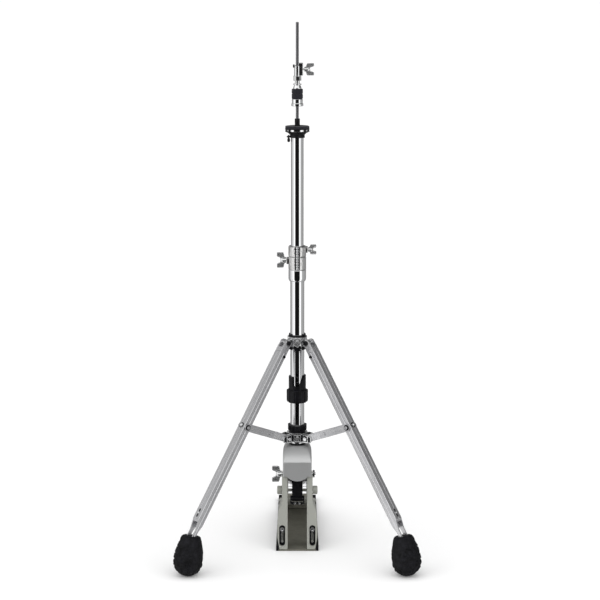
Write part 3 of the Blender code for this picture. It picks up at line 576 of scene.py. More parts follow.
def make_tubes():
    low, high = bottom("lower_tube"), top("lower_tube")
    tube = lathe(ring(14.3, 13.1, low, high, 0.5), facets=96)
    width, start, end = TUBE_SLOT
    half = width / 2
    outline = arc((0, end - half), half, 0, 180) + arc((0, start + half), half, 180, 360)
    slot = prism(outline, 16, shift(0, -14, 0) @ TO_FRONT, 0)
    piece("lower_tube_chrome", carve(tube, slot), "stand", CHROME, ["lower_tube"])

    low, high = bottom("upper_tube"), top("upper_tube")
    tube = lathe(ring(12.7, 11.3, low, high, 0.5), facets=96)
    piece("upper_tube_chrome", tube, "upper_tube", CHROME, ["upper_tube"])


def make_rods():
    low, high = bottom("upper_rod"), top("upper_rod")
    tip = spindle([(2.4, high), (3.0, high - 1.4), (3.0, low), (0.1, low)], 0.5, facets=32)
    piece("upper_rod_steel", tip, "pull_rod", STEEL, ["upper_rod"])
    low, high = bottom("pull_rod"), top("pull_rod")
    profile = [(0, high), (3, high), (3, 400.2), (11.0, 400.2), (11.6, 399.6), (11.6, 395.8),
               (11.0, 395.2), (3, 395.2), (3, low), (0, low)]
    piece("pull_rod_steel", lathe(profile, facets=32), "pull_rod", STEEL, ["pull_rod"])
    # the spring is two halves, one from its foot to the middle and one from the middle to its top
    wire, turns = 0.9, 3.5
    low, high = bottom("return_spring") + wire, top("return_spring") - wire
    middle = (low + high) / 2
    piece("spring_wire_lower", helix(9.2, wire, low, middle, turns),
          ("tension_sleeve", "stand", low, middle), STEEL, ["return_spring"])
    upper = helix(9.2, wire, middle, high, turns)
    upper.transform(turn("Z", 180))
    piece("spring_wire_upper", upper, ("stand", "pull_rod", middle, high), STEEL)


# ---------------------------------------------------------------- clutch

CLUTCH_Z = 914.9


def make_clutch():
    body, at = "clutch", shift(0, 0, CLUTCH_Z)
    # round shank, hexagon and a clamp block with an offset ear for the wing screw
    shank = [(3.4, 60), (7.4, 60), (7.4, 58.6), (4.9, 49.5), (4.9, 7), (3.4, 7)]
    shank = lathe(rounded(shank, 0.3))
    hexagon = prism([polar(8.4, 60 * i + 12)[:2] for i in range(6)], 9.4,
                    shift(0, 0, 55.2), 0.7, 3)
    neck = lathe(rounded([(3.4, 80.5), (5.6, 80.5), (6.4, 79.6), (6.4, 59), (3.4, 59)], 0.3))
    ear = prism(rounded([(1.6, -5.2), (11.5, -5.2), (11.5, 5.2), (1.6, 5.2)], 1.6, 5), 25,
                shift(0, 0, 73.2), 0.9, 3)
    clamp = weld(shank, hexagon, neck, ear)
    clamp = carve(clamp, cylinder(3.3, 40, 90),
                  block((10, 1.4, 19), shift(-6.5, 0, 76), 0))
    clamp.transform(at)
    piece("clutch_clamp", clamp, body, PLATED, ["clutch_body"])
    screw = cap_screw(3.3, 3.4, at @ shift(-5.4, 0, 79.4) @ TO_LEFT, 1.5)
    piece("clutch_stop_screw", screw, body, PLASTIC)

    nut = [(5.3, 44.2), (8.6, 44.2), (8.7, 43.6), (8.5, 42.7), (6.7, 42.1), (6.6, 41.2),
           (8.4, 36.2), (8.5, 34.6), (5.3, 34.6)]
    piece("clutch_cone_nut", lathe(rounded(nut, 0.25, 2), at), body, CHROME,
          ["clutch_top_nut"])

    washers = (("upper_felt", 24.5, 34.4, 3.0), ("lower_felt", 14.4, 24.3, 8.0))
    for name, low, high, seed in washers:
        felt = lathe(felt_profile(11.2, 5.3, low, high), at, 96, fuzz(seed, 0.22))
        piece(name + "_washer", felt, body, FELT, [name])

    # cup with a flange below
    cup = [(5.3, 14.2), (10.4, 14.2), (10.9, 13.6), (10.9, 6.0), (11.1, 5.2), (12.0, 4.8),
           (12.0, 0.6), (11.4, 0.0), (5.3, 0.0)]
    nut = lathe(rounded(cup, 0.3, 3), at, 120)
    piece("clutch_cup_nut", nut, body, CHROME, ["clutch_lower_nut"])

    screw = weld(wing_form(0.76, 4.7, 8.4, 1.35), lathe(screw_shank(1.9, 9.2), facets=32))
    screw.transform(at @ shift(13.4, 0, 73) @ TO_RIGHT @ turn("Z", 90))
    piece("clutch_wing", screw, "clutch_screw", SATIN, ["clutch_wing_screw"])


def screw_shank(radius, length):
    """Threaded shank below the origin: a row of fine V grooves."""
    pitch = 0.9
    profile = [(0, 1.0), (radius, 1.0), (radius, -1.0)]
    count = int((length - 2.0) / pitch)
    for index in range(count):
        z = -1.0 - pitch * index
        profile += [(radius * 0.86, z - pitch * 0.5), (radius, z - pitch)]
    return profile + [(radius * 0.7, -length), (0, -length)]


def felt_profile(outside, bore, low, high):
    """Soft-edged washer with points close enough together to carry the fuzz."""
    corners = rounded([(bore, high), (outside, high), (outside, low), (bore, low)], 1.8, 4)
    return stepped(corners + corners[:1], 1.1)[:-1]


def fuzz(seed, depth, size=0.9):
    """Radius change for the matted surface of felt or the skin of moulded rubber."""
    def wave(angle, radius, height):
        place = Vector((math.cos(angle) * radius, math.sin(angle) * radius, height + seed * 40))
        return radius + depth * noise.noise(place * size)
    return wave


# ---------------------------------------------------------------- cymbal seat

def make_seat():
    stem = rounded([(3.9, 890), (4.9, 890), (5.2, 889), (5.2, 858), (14.8, 858), (15.2, 852),
                    (13.0, 852), (13.0, 857.3), (3.9, 857.3)], 0.35, 2)
    stem = lathe(stem)
    yaw = 190.0
    lug = block((7.0, 6.4, 3.2), beside(17.6, yaw, 854), 0.8, 3)
    bore = cylinder(1.8, 848, 860, shift(*polar(17.5, yaw)))
    piece("seat_stem_moulding", carve(weld(stem, lug), bore), "upper_tube",
          PLASTIC, ["seat_stem"])

    cup = [(7.2, 864.9), (24.2, 864.9), (24.8, 864.6), (24.6, 864.3), (22.8, 863.2),
           (18.6, 861.4), (17.6, 860.4), (16.4, 859.4), (16.1, 858.4), (7.2, 858.4)]
    shelf = lathe(ring(25.0, 7.2, 868.7, 869.6, 0.4), facets=96)
    ribs = [block((2.6, 1.6, 4.6), beside(22.6, 45.0 * i, 866.8), 0.3)
            for i in range(8)]
    cup = joined(lathe(rounded(cup, 0.4, 3), facets=96), shelf, *ribs)
    piece("seat_cup_moulding", cup, "seat", PLASTIC, ["seat_cup"])
    inset = lathe(ring(21.2, 7.4, 864.7, 869.0, 0.3), facets=96)
    piece("seat_ring", inset, "seat", CHROME)

    felt = lathe(felt_profile(24.1, 7.3, 869.7, 875.4), AXIS, 144, fuzz(5.0, 0.25))
    piece("seat_felt_pad", felt, "seat", FELT, ["seat_felt"])

    knob = [(0, 7.4), (1.5, 7.4), (1.5, 1.4), (2.4, 0.2), (2.9, -2.0), (2.9, -4.4), (2.0, -6.6),
            (0, -7.0)]
    knob = lathe([knob[0]] + rounded(knob[1:-1], 0.8, 3, closed=False) + [knob[-1]],
                 shift(*polar(17.5, 190.0, 850)), 40)
    piece("tilt_knob", knob, "tilt_screw", PLASTIC, ["tilt_screw"])


# ---------------------------------------------------------------- clamps on the tubes

CLAMP_Z = (561.0, 611.7)
LOCK_Z = (612.0, 633.3)
HEIGHT_SCREW_Z, LOCK_SCREW_Z = 604.0, 625.5


def knuckles(low, high, count):
    """Column of rounded barrels down the front of a clamp."""
    beads = []
    pitch = (high - low) / (count - 1)
    half = pitch * 0.47
    for index in range(count):
        bead = [(2.0, half), (3.3, 0.5 * half), (3.3, -0.5 * half), (2.0, -half)]
        beads.append(spindle(bead, 0.7, 4, shift(0, -16.6, low + pitch * index), 32))
    return joined(*beads)


def channel(low, high):
    """Dark strip behind the knuckles."""
    return block((10.4, 1.4, high - low), shift(0, -17.5, (low + high) / 2), 0.3)


def make_clamps():
    low, high = CLAMP_Z
    seam = low + 24.0
    sleeve = [(14.6, seam), (17.3, seam), (17.9, seam - 1.2), (17.9, low + 5), (17.0, low + 1.6),
              (15.6, low), (14.6, low)]
    piece("clamp_sleeve", lathe(rounded(sleeve, 0.7, 3), facets=96), "stand", CHROME)
    clamp = lathe(rounded([(14.6, high), (16.8, high), (17.9, high - 1.4), (17.9, seam + 1.0),
                           (17.2, seam + 0.1), (14.6, seam + 0.1)], 0.6, 3), facets=96)
    pad = block((8.0, 13.4, 13.4), shift(-18.2, 0, HEIGHT_SCREW_Z - 1), 1.6, 4)
    bore = cylinder(3.1, -10, 10,
                 shift(-22, 0, HEIGHT_SCREW_Z) @ TO_RIGHT)
    clamp = carve(weld(clamp, pad), bore)
    piece("height_clamp_casting", clamp, "stand", DIMPLED, ["tube_clamp"])
    piece("clamp_knuckles", knuckles(seam + 3.4, high - 2.2, 5), "stand", CHROME)
    piece("clamp_channel", channel(seam + 0.8, high - 1.0), "stand", PLASTIC)
    screw = weld(wing_form(0.98, 6.0, 10.8), lathe(screw_shank(2.8, 7.0), facets=32))
    screw.transform(shift(-22.4, 0, HEIGHT_SCREW_Z) @ TO_LEFT @ turn("Z", 90))
    piece("height_wing", screw, "height_screw", SATIN, ["height_wing_screw"])

    low, high = LOCK_Z
    profile = [(13.1, high), (16.4, high), (17.6, high - 1.2), (18.0, high - 2.6),
               (18.0, low + 1.2), (17.2, low), (13.1, low)]
    lock = lathe(rounded(profile, 0.6, 3), facets=96)
    pad = block((8.0, 13.4, 12.4), shift(17.2, 0, LOCK_SCREW_Z), 1.6, 4)
    bore = cylinder(3.1, -10, 10,
                 shift(22, 0, LOCK_SCREW_Z) @ TO_RIGHT)
    split = block((30, 1.6, 40), shift(-16, 0, low + 10), 0)
    lock = carve(weld(lock, pad), bore, split)
    piece("memory_lock_casting", lock, "memory_lock", DIMPLED, ["memory_lock"])
    piece("lock_knuckles", knuckles(low + 3.4, high - 2.6, 4), "memory_lock", CHROME)
    piece("lock_channel", channel(low + 1.0, high - 1.0), "memory_lock", PLASTIC)
    screw = weld(wing_form(0.84, 5.2, 9.2), lathe(screw_shank(2.8, 8.0), facets=32))
    screw.transform(shift(21.9, 0, LOCK_SCREW_Z) @ TO_RIGHT @ turn("Z", 35))
    piece("memory_wing", screw, "memory_screw", SATIN, ["memory_wing_screw"])


# ---------------------------------------------------------------- spring adjuster

SLEEVE_Z = (309.0, 366.0)
KNOB_Z = (309.3, 336.0)


def make_adjuster():
    low, high = SLEEVE_Z
    sleeve = lathe(ring(17.6, 14.8, low, high, 0.8), facets=96)
    scoop = rounded([(-9.6, 344.5), (2.0, 344.5), (7.0, 350.0), (13.6, 364.0), (14.0, 372.0),
                     (-9.6, 372.0)], 1.5)
    scoop = prism(scoop, 16, shift(0, -16, 0) @ TO_FRONT, 0)
    step = block((12, 40, 6), shift(-14, 0, high + 0.6), 0)
    pin = cylinder(3.2, -8, 8, shift(0, -16, 315.5) @ TO_FRONT)
    piece("adjuster_sleeve", carve(sleeve, scoop, step, pin), "tension_sleeve",
          PLASTIC, ["tension_sleeve"])

    low, high = KNOB_Z
    ribs = 10

    def grip(angle, radius, _height):
        if radius < 19.0:
            return radius
        lift = max(0.0, math.cos(angle * ribs)) ** 0.6
        return radius + 1.5 * lift

    profile = [(17.9, high), (19.6, high), (20.4, high - 1.4), (20.4, low + 4), (19.2, low + 0.9),
               (18.4, low), (17.9, low)]
    knob = lathe(rounded(profile, 0.5, 3), AXIS, 200, grip)
    piece("adjuster_knob", knob, "tension_knob", PLASTIC, ["tension_knob"])

    collar = [(14.7, 262.0), (17.6, 262.0), (18.4, 261.2), (18.4, 253.4), (17.2, 251.8),
              (17.2, 247.4), (16.6, 246.8), (14.7, 246.8)]

    def lobes(angle, radius, _height):
        if radius < 17.4:
            return radius
        lift = max(0.0, math.cos((angle - math.radians(30)) * 6)) ** 0.5
        return radius + 2.9 * lift

    collar = lathe(rounded(collar, 0.5, 3), AXIS, 180, lobes)
    piece("hub_lock_collar", collar, "lower_hub", PLASTIC, ["lock_collar"])


# ---------------------------------------------------------------- hubs

def octagon(radius, low, high, ease=0.7):
    outline = [polar(radius, 45 * i + 22.5)[:2] for i in range(8)]
    return prism(outline, high - low, shift(0, 0, (low + high) / 2), ease, 3)


def hub_lug(yaw, pivot_r, height, inside):
    outline = [(inside, 5.5), (inside, -5.5)] + arc((pivot_r, 0), 5.5, -90, 90, 14)
    lug = prism(outline, 8.8, AXIS, 0.7, 3)
    bore = cylinder(2.8, -9, 9, shift(pivot_r, 0, 0), 32)
    lug = carve(lug, bore)
    lug.transform(turn("Z", yaw) @ shift(0, 0, height) @ TO_FRONT)
    return lug


def make_upper_hub():
    pivot_r, height = HUB_PIVOT
    low, high = height - 10, height + 10
    parts = [carve(octagon(21.2, low, low + 3.4), cylinder(16.5, low - 1, high)),
             carve(octagon(21.2, high - 3.4, high), cylinder(16.5, low, high + 1)),
             lathe(ring(19.2, 16.5, low + 0.5, high - 0.5, 0.4))]
    for yaw in (-90, -20, 20, 90, 160, 200):
        parts.append(block((3.2, 4.2, 18.6), beside(19.0, yaw, height), 0.8, 3))
    parts += [hub_lug(yaw, pivot_r, height, 18.0) for _, yaw in SIDES]
    piece("leg_hub_casting", joined(*parts), "leg_hub", PLATED, ["leg_hub"])
    shield = rounded([(-8.0, 9.0), (8.0, 9.0), (7.0, -2.5), (0, -10.4), (-7.0, -2.5)], 2.0, 4)
    shield = prism(shield, 7.6, shift(0, -22.6, height) @ TO_FRONT, 1.1, 3)
    bolt = hex_head(4.2, 3.2, shift(0, -26.4, height + 1.6) @ TO_FRONT)
    piece("leg_hub_shield", joined(shield, bolt), "leg_hub", SATIN)

    # liner with a thin flange that flares up at its corners, and three tabs below
    liner = [(14.7, 13.4), (17.2, 13.4), (17.6, 12.8), (17.6, 10.4), (16.0, 10.4), (16.0, -10.4),
             (17.2, -10.4), (17.2, -13.6), (14.7, -13.6)]
    bushing = lathe(rounded(liner, 0.4, 3), shift(0, 0, height))
    ears = [block((3.0, 6.5, 4.6), beside(16.6, yaw, height + 12.9), 0.9, 3)
            for yaw in (-30, -150, 30, 150)]
    tabs = [block((4.4, 11.6, 8.4), shift(0, -17.4, height - 14.0) @ turn("Z", -90), 1.2, 3)]
    for side in (-1, 1):
        where = shift(*polar(20.0, -90 + side * 44, height - 13.6))
        tabs.append(block((3.4, 11.0, 3.6), where @ turn("Y", -14 * side)
                          @ turn("Z", -90 + side * 44), 0.9, 3))
    piece("hub_bushing_moulding", joined(bushing, *ears, *tabs), "leg_hub",
          PLASTIC, ["hub_bushing"])


def make_lower_hub():
    pivot_r, height = BRACE_PIVOT
    low, high = height - 8.4, height + 8.4
    core = lathe(ring(18.6, 14.8, low + 0.6, high - 0.6, 0.4))
    piece("brace_hub_core", core, "lower_hub", PLASTIC)
    parts = [carve(octagon(22.4, low, low + 2.6), cylinder(14.8, low - 1, high)),
             carve(octagon(22.4, high - 2.6, high), cylinder(14.8, low, high + 1))]
    for index in range(16):
        yaw = 22.5 * index
        parts.append(block((5.6, 1.8, 15.6), beside(19.2, yaw, height), 0.5))
    parts += [hub_lug(yaw, pivot_r, height, 18.6) for _, yaw in SIDES]
    panels = []
    for label, yaw in SIDES:
        # cheeks outside the brace's fork: a plated frame round a black panel
        for side in (-1, 1):
            reach = 50.0 if (side > 0) == (label == "left") else 41.0
            outline = [(18.5, -8.4), (reach - 16, -8.4), (reach - 3, -6.4), (reach, 0),
                       (reach - 3, 6.4), (reach - 16, 8.4), (18.5, 8.4)]
            cheek = prism(rounded(outline, 2.0, 4), 2.2, AXIS, 0.6, 3)
            for start, end in ((20.4, 27.2), (28.9, 38.6), (40.4, 47.0))[:3 if reach > 45 else 2]:
                opening = rounded([(start, -6.4), (end, -5.2), (end, 5.2), (start, 6.4)], 1.6, 4)
                cheek = carve(cheek, prism(opening, 6, AXIS, 0))
            panel = rounded([(19.5, -7), (reach - 2.5, -5), (reach - 2.5, 5), (19.5, 7)], 1.5)
            panel = prism(panel, 1.2, AXIS, 0)
            for form, offset, group in ((cheek, 12.9, parts), (panel, 12.7, panels)):
                form.transform(turn("Z", yaw) @ shift(0, side * offset, height) @ TO_FRONT)
                group.append(form)
    piece("brace_hub_panels", joined(*panels), "lower_hub", PLASTIC)
    frame_form = block((15.0, 8.5, 16.4), shift(0, -26.4, height), 1.2, 3)
    window = block((11.0, 4, 12.2), shift(0, -30.0, height), 0.6, 2)
    parts.append(carve(frame_form, window))
    piece("brace_hub_casting", joined(*parts), "lower_hub", PLATED, ["lower_hub"])
    bolt = hex_head(4.4, 3.0, shift(0, -28.0, height) @ TO_FRONT)
    piece("brace_hub_bolt", bolt, "lower_hub", SATIN)


def make_pivot_bolts():
    plan = (("leg", "leg_hub", HUB_PIVOT, 8.9, 5.0),
            ("brace", "lower_hub", BRACE_PIVOT, 13.9, 4.2))
    for kind, body, (pivot_r, height), half, radius in plan:
        for label, yaw in SIDES:
            node = f"{label}_{kind}_bolt"
            where = beside(pivot_r, yaw, height) @ TO_FRONT
            pin = cylinder(2.5, -half, half, facets=32)
            head = cap_screw(radius, 3.0, shift(0, 0, half), 2.2)
            nut = hex_head(radius, 3.0, shift(0, 0, -half) @ turn("X", 180))
            bolt = joined(pin, head, nut)
            bolt.transform(where)
            finish = CHROME
            if kind == "leg":
                finish = PLASTIC
                washers = [lathe(ring(7.3, 2.7, at - 0.5, at + 0.6, 0.2), where, 48)
                           for at in (-half, half)]
                piece(label + "_leg_washers", joined(*washers), body, PLATED)
            piece(node + "_set", bolt, body, finish, [node])


# ---------------------------------------------------------------- legs, braces and feet

def groove_profile(side, depth, groove):
    """Square extrusion with a shallow groove along the middle of each face."""
    half, rim = side / 2, groove / 2
    face = [(half, -half), (half, -rim - depth), (half - depth, -rim), (half - depth, rim),
            (half, rim + depth)]
    outline = []
    for quarter in range(4):
        spin = Matrix.Rotation(math.radians(90 * quarter), 2)
        outline += [tuple(spin @ Vector(point)) for point in face]
    return rounded(outline, 1.2, 4)


def make_leg(label, yaw):
    body = label + "_leg"
    frame_of = leg_frame(yaw)
    half = LEG_SIDE / 2
    length = LEG_END - LEG_START
    middle = -LEG_START - length / 2
    leg = prism(groove_profile(LEG_SIDE, 0.5, 1.2), length, shift(0, 0, middle), 0)
    hollow = LEG_SIDE - 2 * LEG_WALL - 1.0
    outer_cut = [(half + 4, -398), (half - 1, -400), (3.2, -420), (3.2, -450), (half + 4, -450)]
    inner_cut = [(-half - 4, -408), (-half + 1, -410), (-5.0, -422), (-5.0, -450),
                 (-half - 4, -450)]
    slot = arc((0, -380), 2.4, 0, 180) + arc((0, -394), 2.4, 180, 360)
    leg = carve(leg, block((hollow, hollow, length + 20), shift(0, 0, middle), 0),
                prism(rounded(outer_cut, 2.5), 40, TO_FRONT, 0),
                prism(rounded(inner_cut, 2.5), 40, TO_FRONT, 0),
                prism(slot, 8, shift(half, 0, 0) @ turn("Z", 90) @ TO_FRONT, 0))
    piece(label + "_leg_extrusion", leg, body, ALUMINIUM, [body], frame_of)
    screws = joined(cap_screw(4.0, 2.4, shift(half - 0.9, 0, -LEG_PIN_DISTANCE) @ TO_RIGHT),
                    cap_screw(2.9, 1.8, shift(half - 1.0, 0, -387) @ TO_RIGHT, 1.4),
                    cap_screw(3.4, 2.0, shift(-half + 0.9, 0, -34) @ TO_LEFT, 1.6))
    piece(label + "_leg_screws", screws, body, CHROME, (), frame_of)
    front = 1 if label == "left" else -1
    stop = cap_screw(3.0, 2.6, shift(-4.6, front * half, -29) @ turn("X", -90 * front), 0)
    pad = lathe(ring(5.6, 3.0, half - 0.4, half + 0.5, 0.2), shift(0, 0, -LEG_PIN_DISTANCE)
                @ TO_RIGHT, 48)
    piece(label + "_leg_stop", joined(stop, pad), body, PLASTIC, (), frame_of)

    inner = LEG_SIDE - 2 * LEG_WALL - 1.6
    outline = arc((0, 0), 7.6, 0, 180, 16)
    outline += [(-8.7, -12), (-8.7, -LEG_START + 0.3), (8.7, -LEG_START + 0.3), (8.7, -12)]
    bracket = prism(rounded(outline, 0.6, 2), 17.6, TO_FRONT, 0.9, 3)
    bracket = weld(bracket, block((inner, inner, 20), shift(0, 0, -LEG_START - 6), 0.6))
    bracket = carve(bracket, block((30, 9.4, 34), shift(0, 0, 4.0), 0),
                    cylinder(2.8, -20, 20, TO_FRONT, 32))
    piece(label + "_leg_fork", bracket, body, BRIGHT, [label + "_leg_bracket"],
          frame_of)


def make_foot(label, yaw):
    lean = math.atan2(FOOT_BALL[0] - FOOT_TOP[0], FOOT_TOP[1] - FOOT_BALL[1])
    tall = math.dist(FOOT_TOP, FOOT_BALL)
    frame_of = (turn("Z", yaw) @ shift(FOOT_BALL[0], 0, FOOT_BALL[1])
                @ turn("Y", -math.degrees(lean)))
    outline = [(16.6, tall), (18.6, tall - 1.4), (20.2, tall - 5), (22.6, tall - 13),
               (25.8, tall - 24), (28.0, tall - 36), (28.6, tall - 46)]
    outline += [(28.6 * math.cos(math.radians(a)), -28.6 * math.sin(math.radians(a)))
                for a in (-6, 8, 20, 32, 44, 56, 68, 80)]
    skin = stepped(outline, 1.3)
    rows, columns, grain = 12.5, 13, fuzz(2.0, 0.9, 0.22)

    def tread(angle, radius, height):
        """Rows of staggered blocks, with a coarse moulded skin between them."""
        row = math.floor((height + 60) / rows)
        up = math.sin(math.pi * ((height + 60) / rows - row))
        around = 0.5 + 0.5 * math.cos(angle * columns + (row % 2) * math.pi)
        raised = min(1.0, 2.6 * up * around)
        outward = min(1.0, max(0.0, 1.6 * math.cos(angle) - 0.1))
        low_down = min(1.0, max(0.0, (8 - height) / 20))
        share = 0.15 + 0.85 * max(outward, low_down)
        fade = min(1.0, max(0.0, (tall - 10 - height) / 16)) * share
        return grain(angle, radius, height) - 1.0 * fade + 2.0 * raised ** 2 * fade

    foot = lathe([(0, tall)] + skin + [(0, -28.6)], frame_of, 150, tread)
    piece(label + "_foot_rubber", foot, label + "_leg", RUBBER, [label + "_foot"])


def make_brace(label, yaw):
    body = label + "_brace"
    frame_of = brace_frame(yaw)
    low, high, seam, half = 9.4, 11.4, 40.5, 7.75
    outline = arc((0, 0), 6.8, 90, 270, 14)
    outline += [(12, -half), (seam, -half), (seam, half), (12, half)]
    fork = prism(rounded(outline, 0.5, 2), 2 * high, TO_FRONT, 0.9, 3)
    fork = weld(fork, block((24, 2 * (low - 0.3), 12), shift(seam + 6, 0, 0), 0.6))
    fork = carve(fork, block((34, 9.4, 30), shift(-4, 0, 0), 0),
                 cylinder(2.8, -20, 20, TO_FRONT, 32),
                 cylinder(2.4, -20, 20,
                       shift(seam + 10, 0, 0) @ TO_FRONT, 32))
    piece(body + "_fork", fork, body, BRIGHT, [body + "_bracket"], frame_of)

    start, reach = seam + 0.3, BRACE_LENGTH
    bar = [(start, -half)] + arc((reach, 0), half, -90, 90, 20) + [(start, half)]
    parts, caps = [], []
    for side in (-1, 1):
        middle = side * (low + high) / 2
        strip = prism(bar, high - low, shift(0, middle, 0) @ TO_FRONT, 0.5, 3)
        channel = rounded([(start + 5, -2.4), (reach - 14, -2.4), (reach - 14, 2.4),
                           (start + 5, 2.4)], 2.2, 5)
        strip = carve(strip, prism(channel, 1.0, shift(0, side * (high + 0.1), 0) @ TO_FRONT, 0))
        outward = turn("X", -90 * side)
        end = shift(reach, side * high, 0) @ outward
        caps.append(lathe(ring(5.8, 2.5, -0.4, 1.5, 0.4), end, 48))
        parts += [strip, cap_screw(3.6, 3.2, end, 1.8),
                  cap_screw(3.2, 1.2, shift(seam + 10, side * high, 0) @ outward, 0)]
    parts.append(cylinder(2.2, -low - 1, low + 1,
                       shift(seam + 10, 0, 0) @ TO_FRONT, 32))
    piece(body + "_bars", joined(*parts), body, BAR, [body], frame_of)
    piece(body + "_end_washers", joined(*caps), body, PLASTIC, (), frame_of)


# ---------------------------------------------------------------- pedal frame

HOOD_X, HOOD_FRONT, HOOD_BACK = 29.5, -40.0, 26.0
HOOD_Z = (150.0, 191.0, 221.0)
POST_IN, POST_OUT, POST_TOP_OUT, POST_TOP = 20.0, 41.2, 31.5, 159.7
POST_Y = (-30.0, 16.0)
FRAME_BOLT = (-20.0, 162.0)
AXLE = (10.0, 119.0)
SPUR_X, SPUR_Y = 31.2, -16.0


def hood_front(height):
    """Front face of the hood: upright below the crease, then bowed back to the top."""
    crease, high = HOOD_Z[1:]
    if height <= crease:
        return HOOD_FRONT
    share = (height - crease) / (high - crease)
    return HOOD_FRONT + 10.5 * share + 8.0 * share ** 2.6


def shoulder(height, start, end, reach):
    """How far a quarter-round shoulder has come in at a height."""
    if height <= start:
        return 0.0
    share = (height - start) / (end - start)
    return reach * (1 - math.sqrt(max(0.0, 1 - share ** 2)))


def make_hood():
    low, crease, high = HOOD_Z
    heights = [low, low + 1.2, crease - 0.5, crease, crease + 0.5]
    heights += [crease + 0.5 + (high - crease - 0.5) * math.sin(math.pi / 2 * i / 14)
                for i in range(1, 15)]
    sections = []
    for height in heights:
        half = HOOD_X - shoulder(height, 198, high, 9.5) - (0.8 if height == low else 0)
        front = hood_front(height) + (0.8 if height == low else 0)
        back = HOOD_BACK - shoulder(height, 204, high, 9.0)
        corner = 2.0 + 9.0 * max(0.0, height - crease) / (high - crease)
        points = []
        for x, y, start in ((half - corner, back - corner, 0), (corner - half, back - corner, 90),
                            (corner - half, front + corner, 180),
                            (half - corner, front + corner, 270)):
            points += [(px, py, height) for px, py in arc((x, y), corner, start, start + 90, 8)]
        sections.append(points)
    hood = loft(sections)
    bore = cylinder(14.5, 150, 240, facets=96)
    bolt = cylinder(3.3, -50, 50,
                 shift(0, *FRAME_BOLT) @ TO_RIGHT, 32)
    hood = carve(hood, block((49.4, 56, 60), shift(0, -8, 144), 4, 4), bore, bolt)
    for side in (-1, 1):
        hood = carve(hood, block((14.6, 96, 22.4), shift(side * (POST_IN + 7.0), 0, 150), 0))
    apron = [(x, low + 1.2 + 7.0 * (x / 19.0) ** 2) for x in (22, 16, 11, 6, 0, -6, -11, -16, -22)]
    apron = prism([(-22, low - 10), (22, low - 10)] + apron, 12, shift(0, HOOD_FRONT, 0)
                  @ TO_FRONT, 0)
    hood = carve(hood, apron)
    piece("frame_hood_casting", hood, "stand", LACQUER, ["frame_hood"])
    # a gasket where the tube enters
    gasket = lathe(ring(17.2, 14.4, 218, 223.5, 1.0))
    piece("hood_gasket", gasket, "stand", PLASTIC)


def stadium(half, low, high):
    """Upright outline with round ends."""
    return arc((0, high - half), half, 0, 180, 14) + arc((0, low + half), half, 180, 360, 14)


def make_yoke():
    depth = POST_Y[1] - POST_Y[0]
    middle = sum(POST_Y) / 2
    outline = [(POST_IN, 3.3), (37.4, 3.3), (38.4, 12), (POST_OUT, 28), (POST_OUT, 52),
               (39.2, 84), (32.0, 102), (31.0, 108), (POST_TOP_OUT, 146),
               (POST_TOP_OUT, POST_TOP), (24.5, POST_TOP), (24.5, 172), (POST_IN, 172)]
    outline = rounded(outline, 3.0, 4)
    yoke = block((2 * POST_IN + 4, 4, 40), shift(0, POST_Y[1] - 2, 131), 0.5)
    for side in (-1, 1):
        mirrored = [(side * x, z) for x, z in outline]
        yoke = weld(yoke, prism(mirrored, depth, shift(0, middle, 0) @ TO_FRONT, 1.1, 3))
    for side in (-1, 1):
        x = side * SPUR_X
        well = prism(stadium(6.2, 10.7, 55.3), 8, shift(x, POST_Y[0], 0) @ TO_FRONT, 0)
        slot = prism(stadium(2.9, 17, 51), 30, shift(x, SPUR_Y - 11.5, 0) @ TO_FRONT, 0)
        bore = cylinder(3.8, 0, 66, shift(x, SPUR_Y, 0), 40)
        yoke = carve(yoke, well, slot, bore)
    axle = cylinder(3.2, -60, 60, shift(0, *AXLE) @ TO_RIGHT, 40)
    bolt = cylinder(3.3, -60, 60, shift(0, *FRAME_BOLT) @ TO_RIGHT, 40)
    piece("pedal_yoke_casting", carve(yoke, axle, bolt), "stand", CASTING,
          ["pedal_yoke"])
    # bright slats on the web behind the strap
    slats = []
    for index in range(5):
        slat = block((2 * POST_IN - 1.5, 1.4, 7.6), shift(0, 11.6, 114.6 + 7.8 * index), 0.3)
        slats.append(slat)
    for index, slat in enumerate(slats):
        centre = Vector((0, 11.6, 114.6 + 7.8 * index))
        slat.transform(Matrix.Translation(centre) @ turn("X", -20) @ Matrix.Translation(-centre))
    piece("web_slats", joined(*slats), "stand", PLATED)
    rims = []
    for side in (-1, 1):
        rim = prism(stadium(7.6, 9.3, 56.7), 2.2, AXIS, 0.5, 3)
        rim = carve(rim, prism(stadium(6.2, 10.7, 55.3), 6, AXIS, 0))
        rim.transform(shift(side * SPUR_X, POST_Y[0] + 0.3, 0) @ TO_FRONT)
        rims.append(rim)
    piece("slot_rims", joined(*rims), "stand", CASTING)
    inserts = []
    for side in (-1, 1):
        insert = prism(stadium(5.9, 11.0, 55.0), 0.8, AXIS, 0)
        insert = carve(insert, prism(stadium(2.9, 17, 51), 6, AXIS, 0))
        insert.transform(shift(side * SPUR_X, POST_Y[0] + 3.6, 0) @ TO_FRONT)
        inserts.append(insert)
    piece("slot_inserts", joined(*inserts), "stand", PLASTIC)

    rod = cylinder(2.9, -42, 42, facets=40)
    caps = [rod]
    for side in (-1, 1):
        cap = [(7.2, 10.4), (8.8, 9.0), (8.8, 0.6), (8.0, 0.3)]
        where = turn("X", 0 if side > 0 else 180) @ shift(0, 0, POST_TOP_OUT)
        caps.append(spindle(cap, 1.0, 4, where, 56))
    axle = joined(*caps)
    axle.transform(shift(0, *AXLE) @ TO_RIGHT)
    piece("cross_axle_casting", axle, "stand", CASTING, ["cross_axle"])


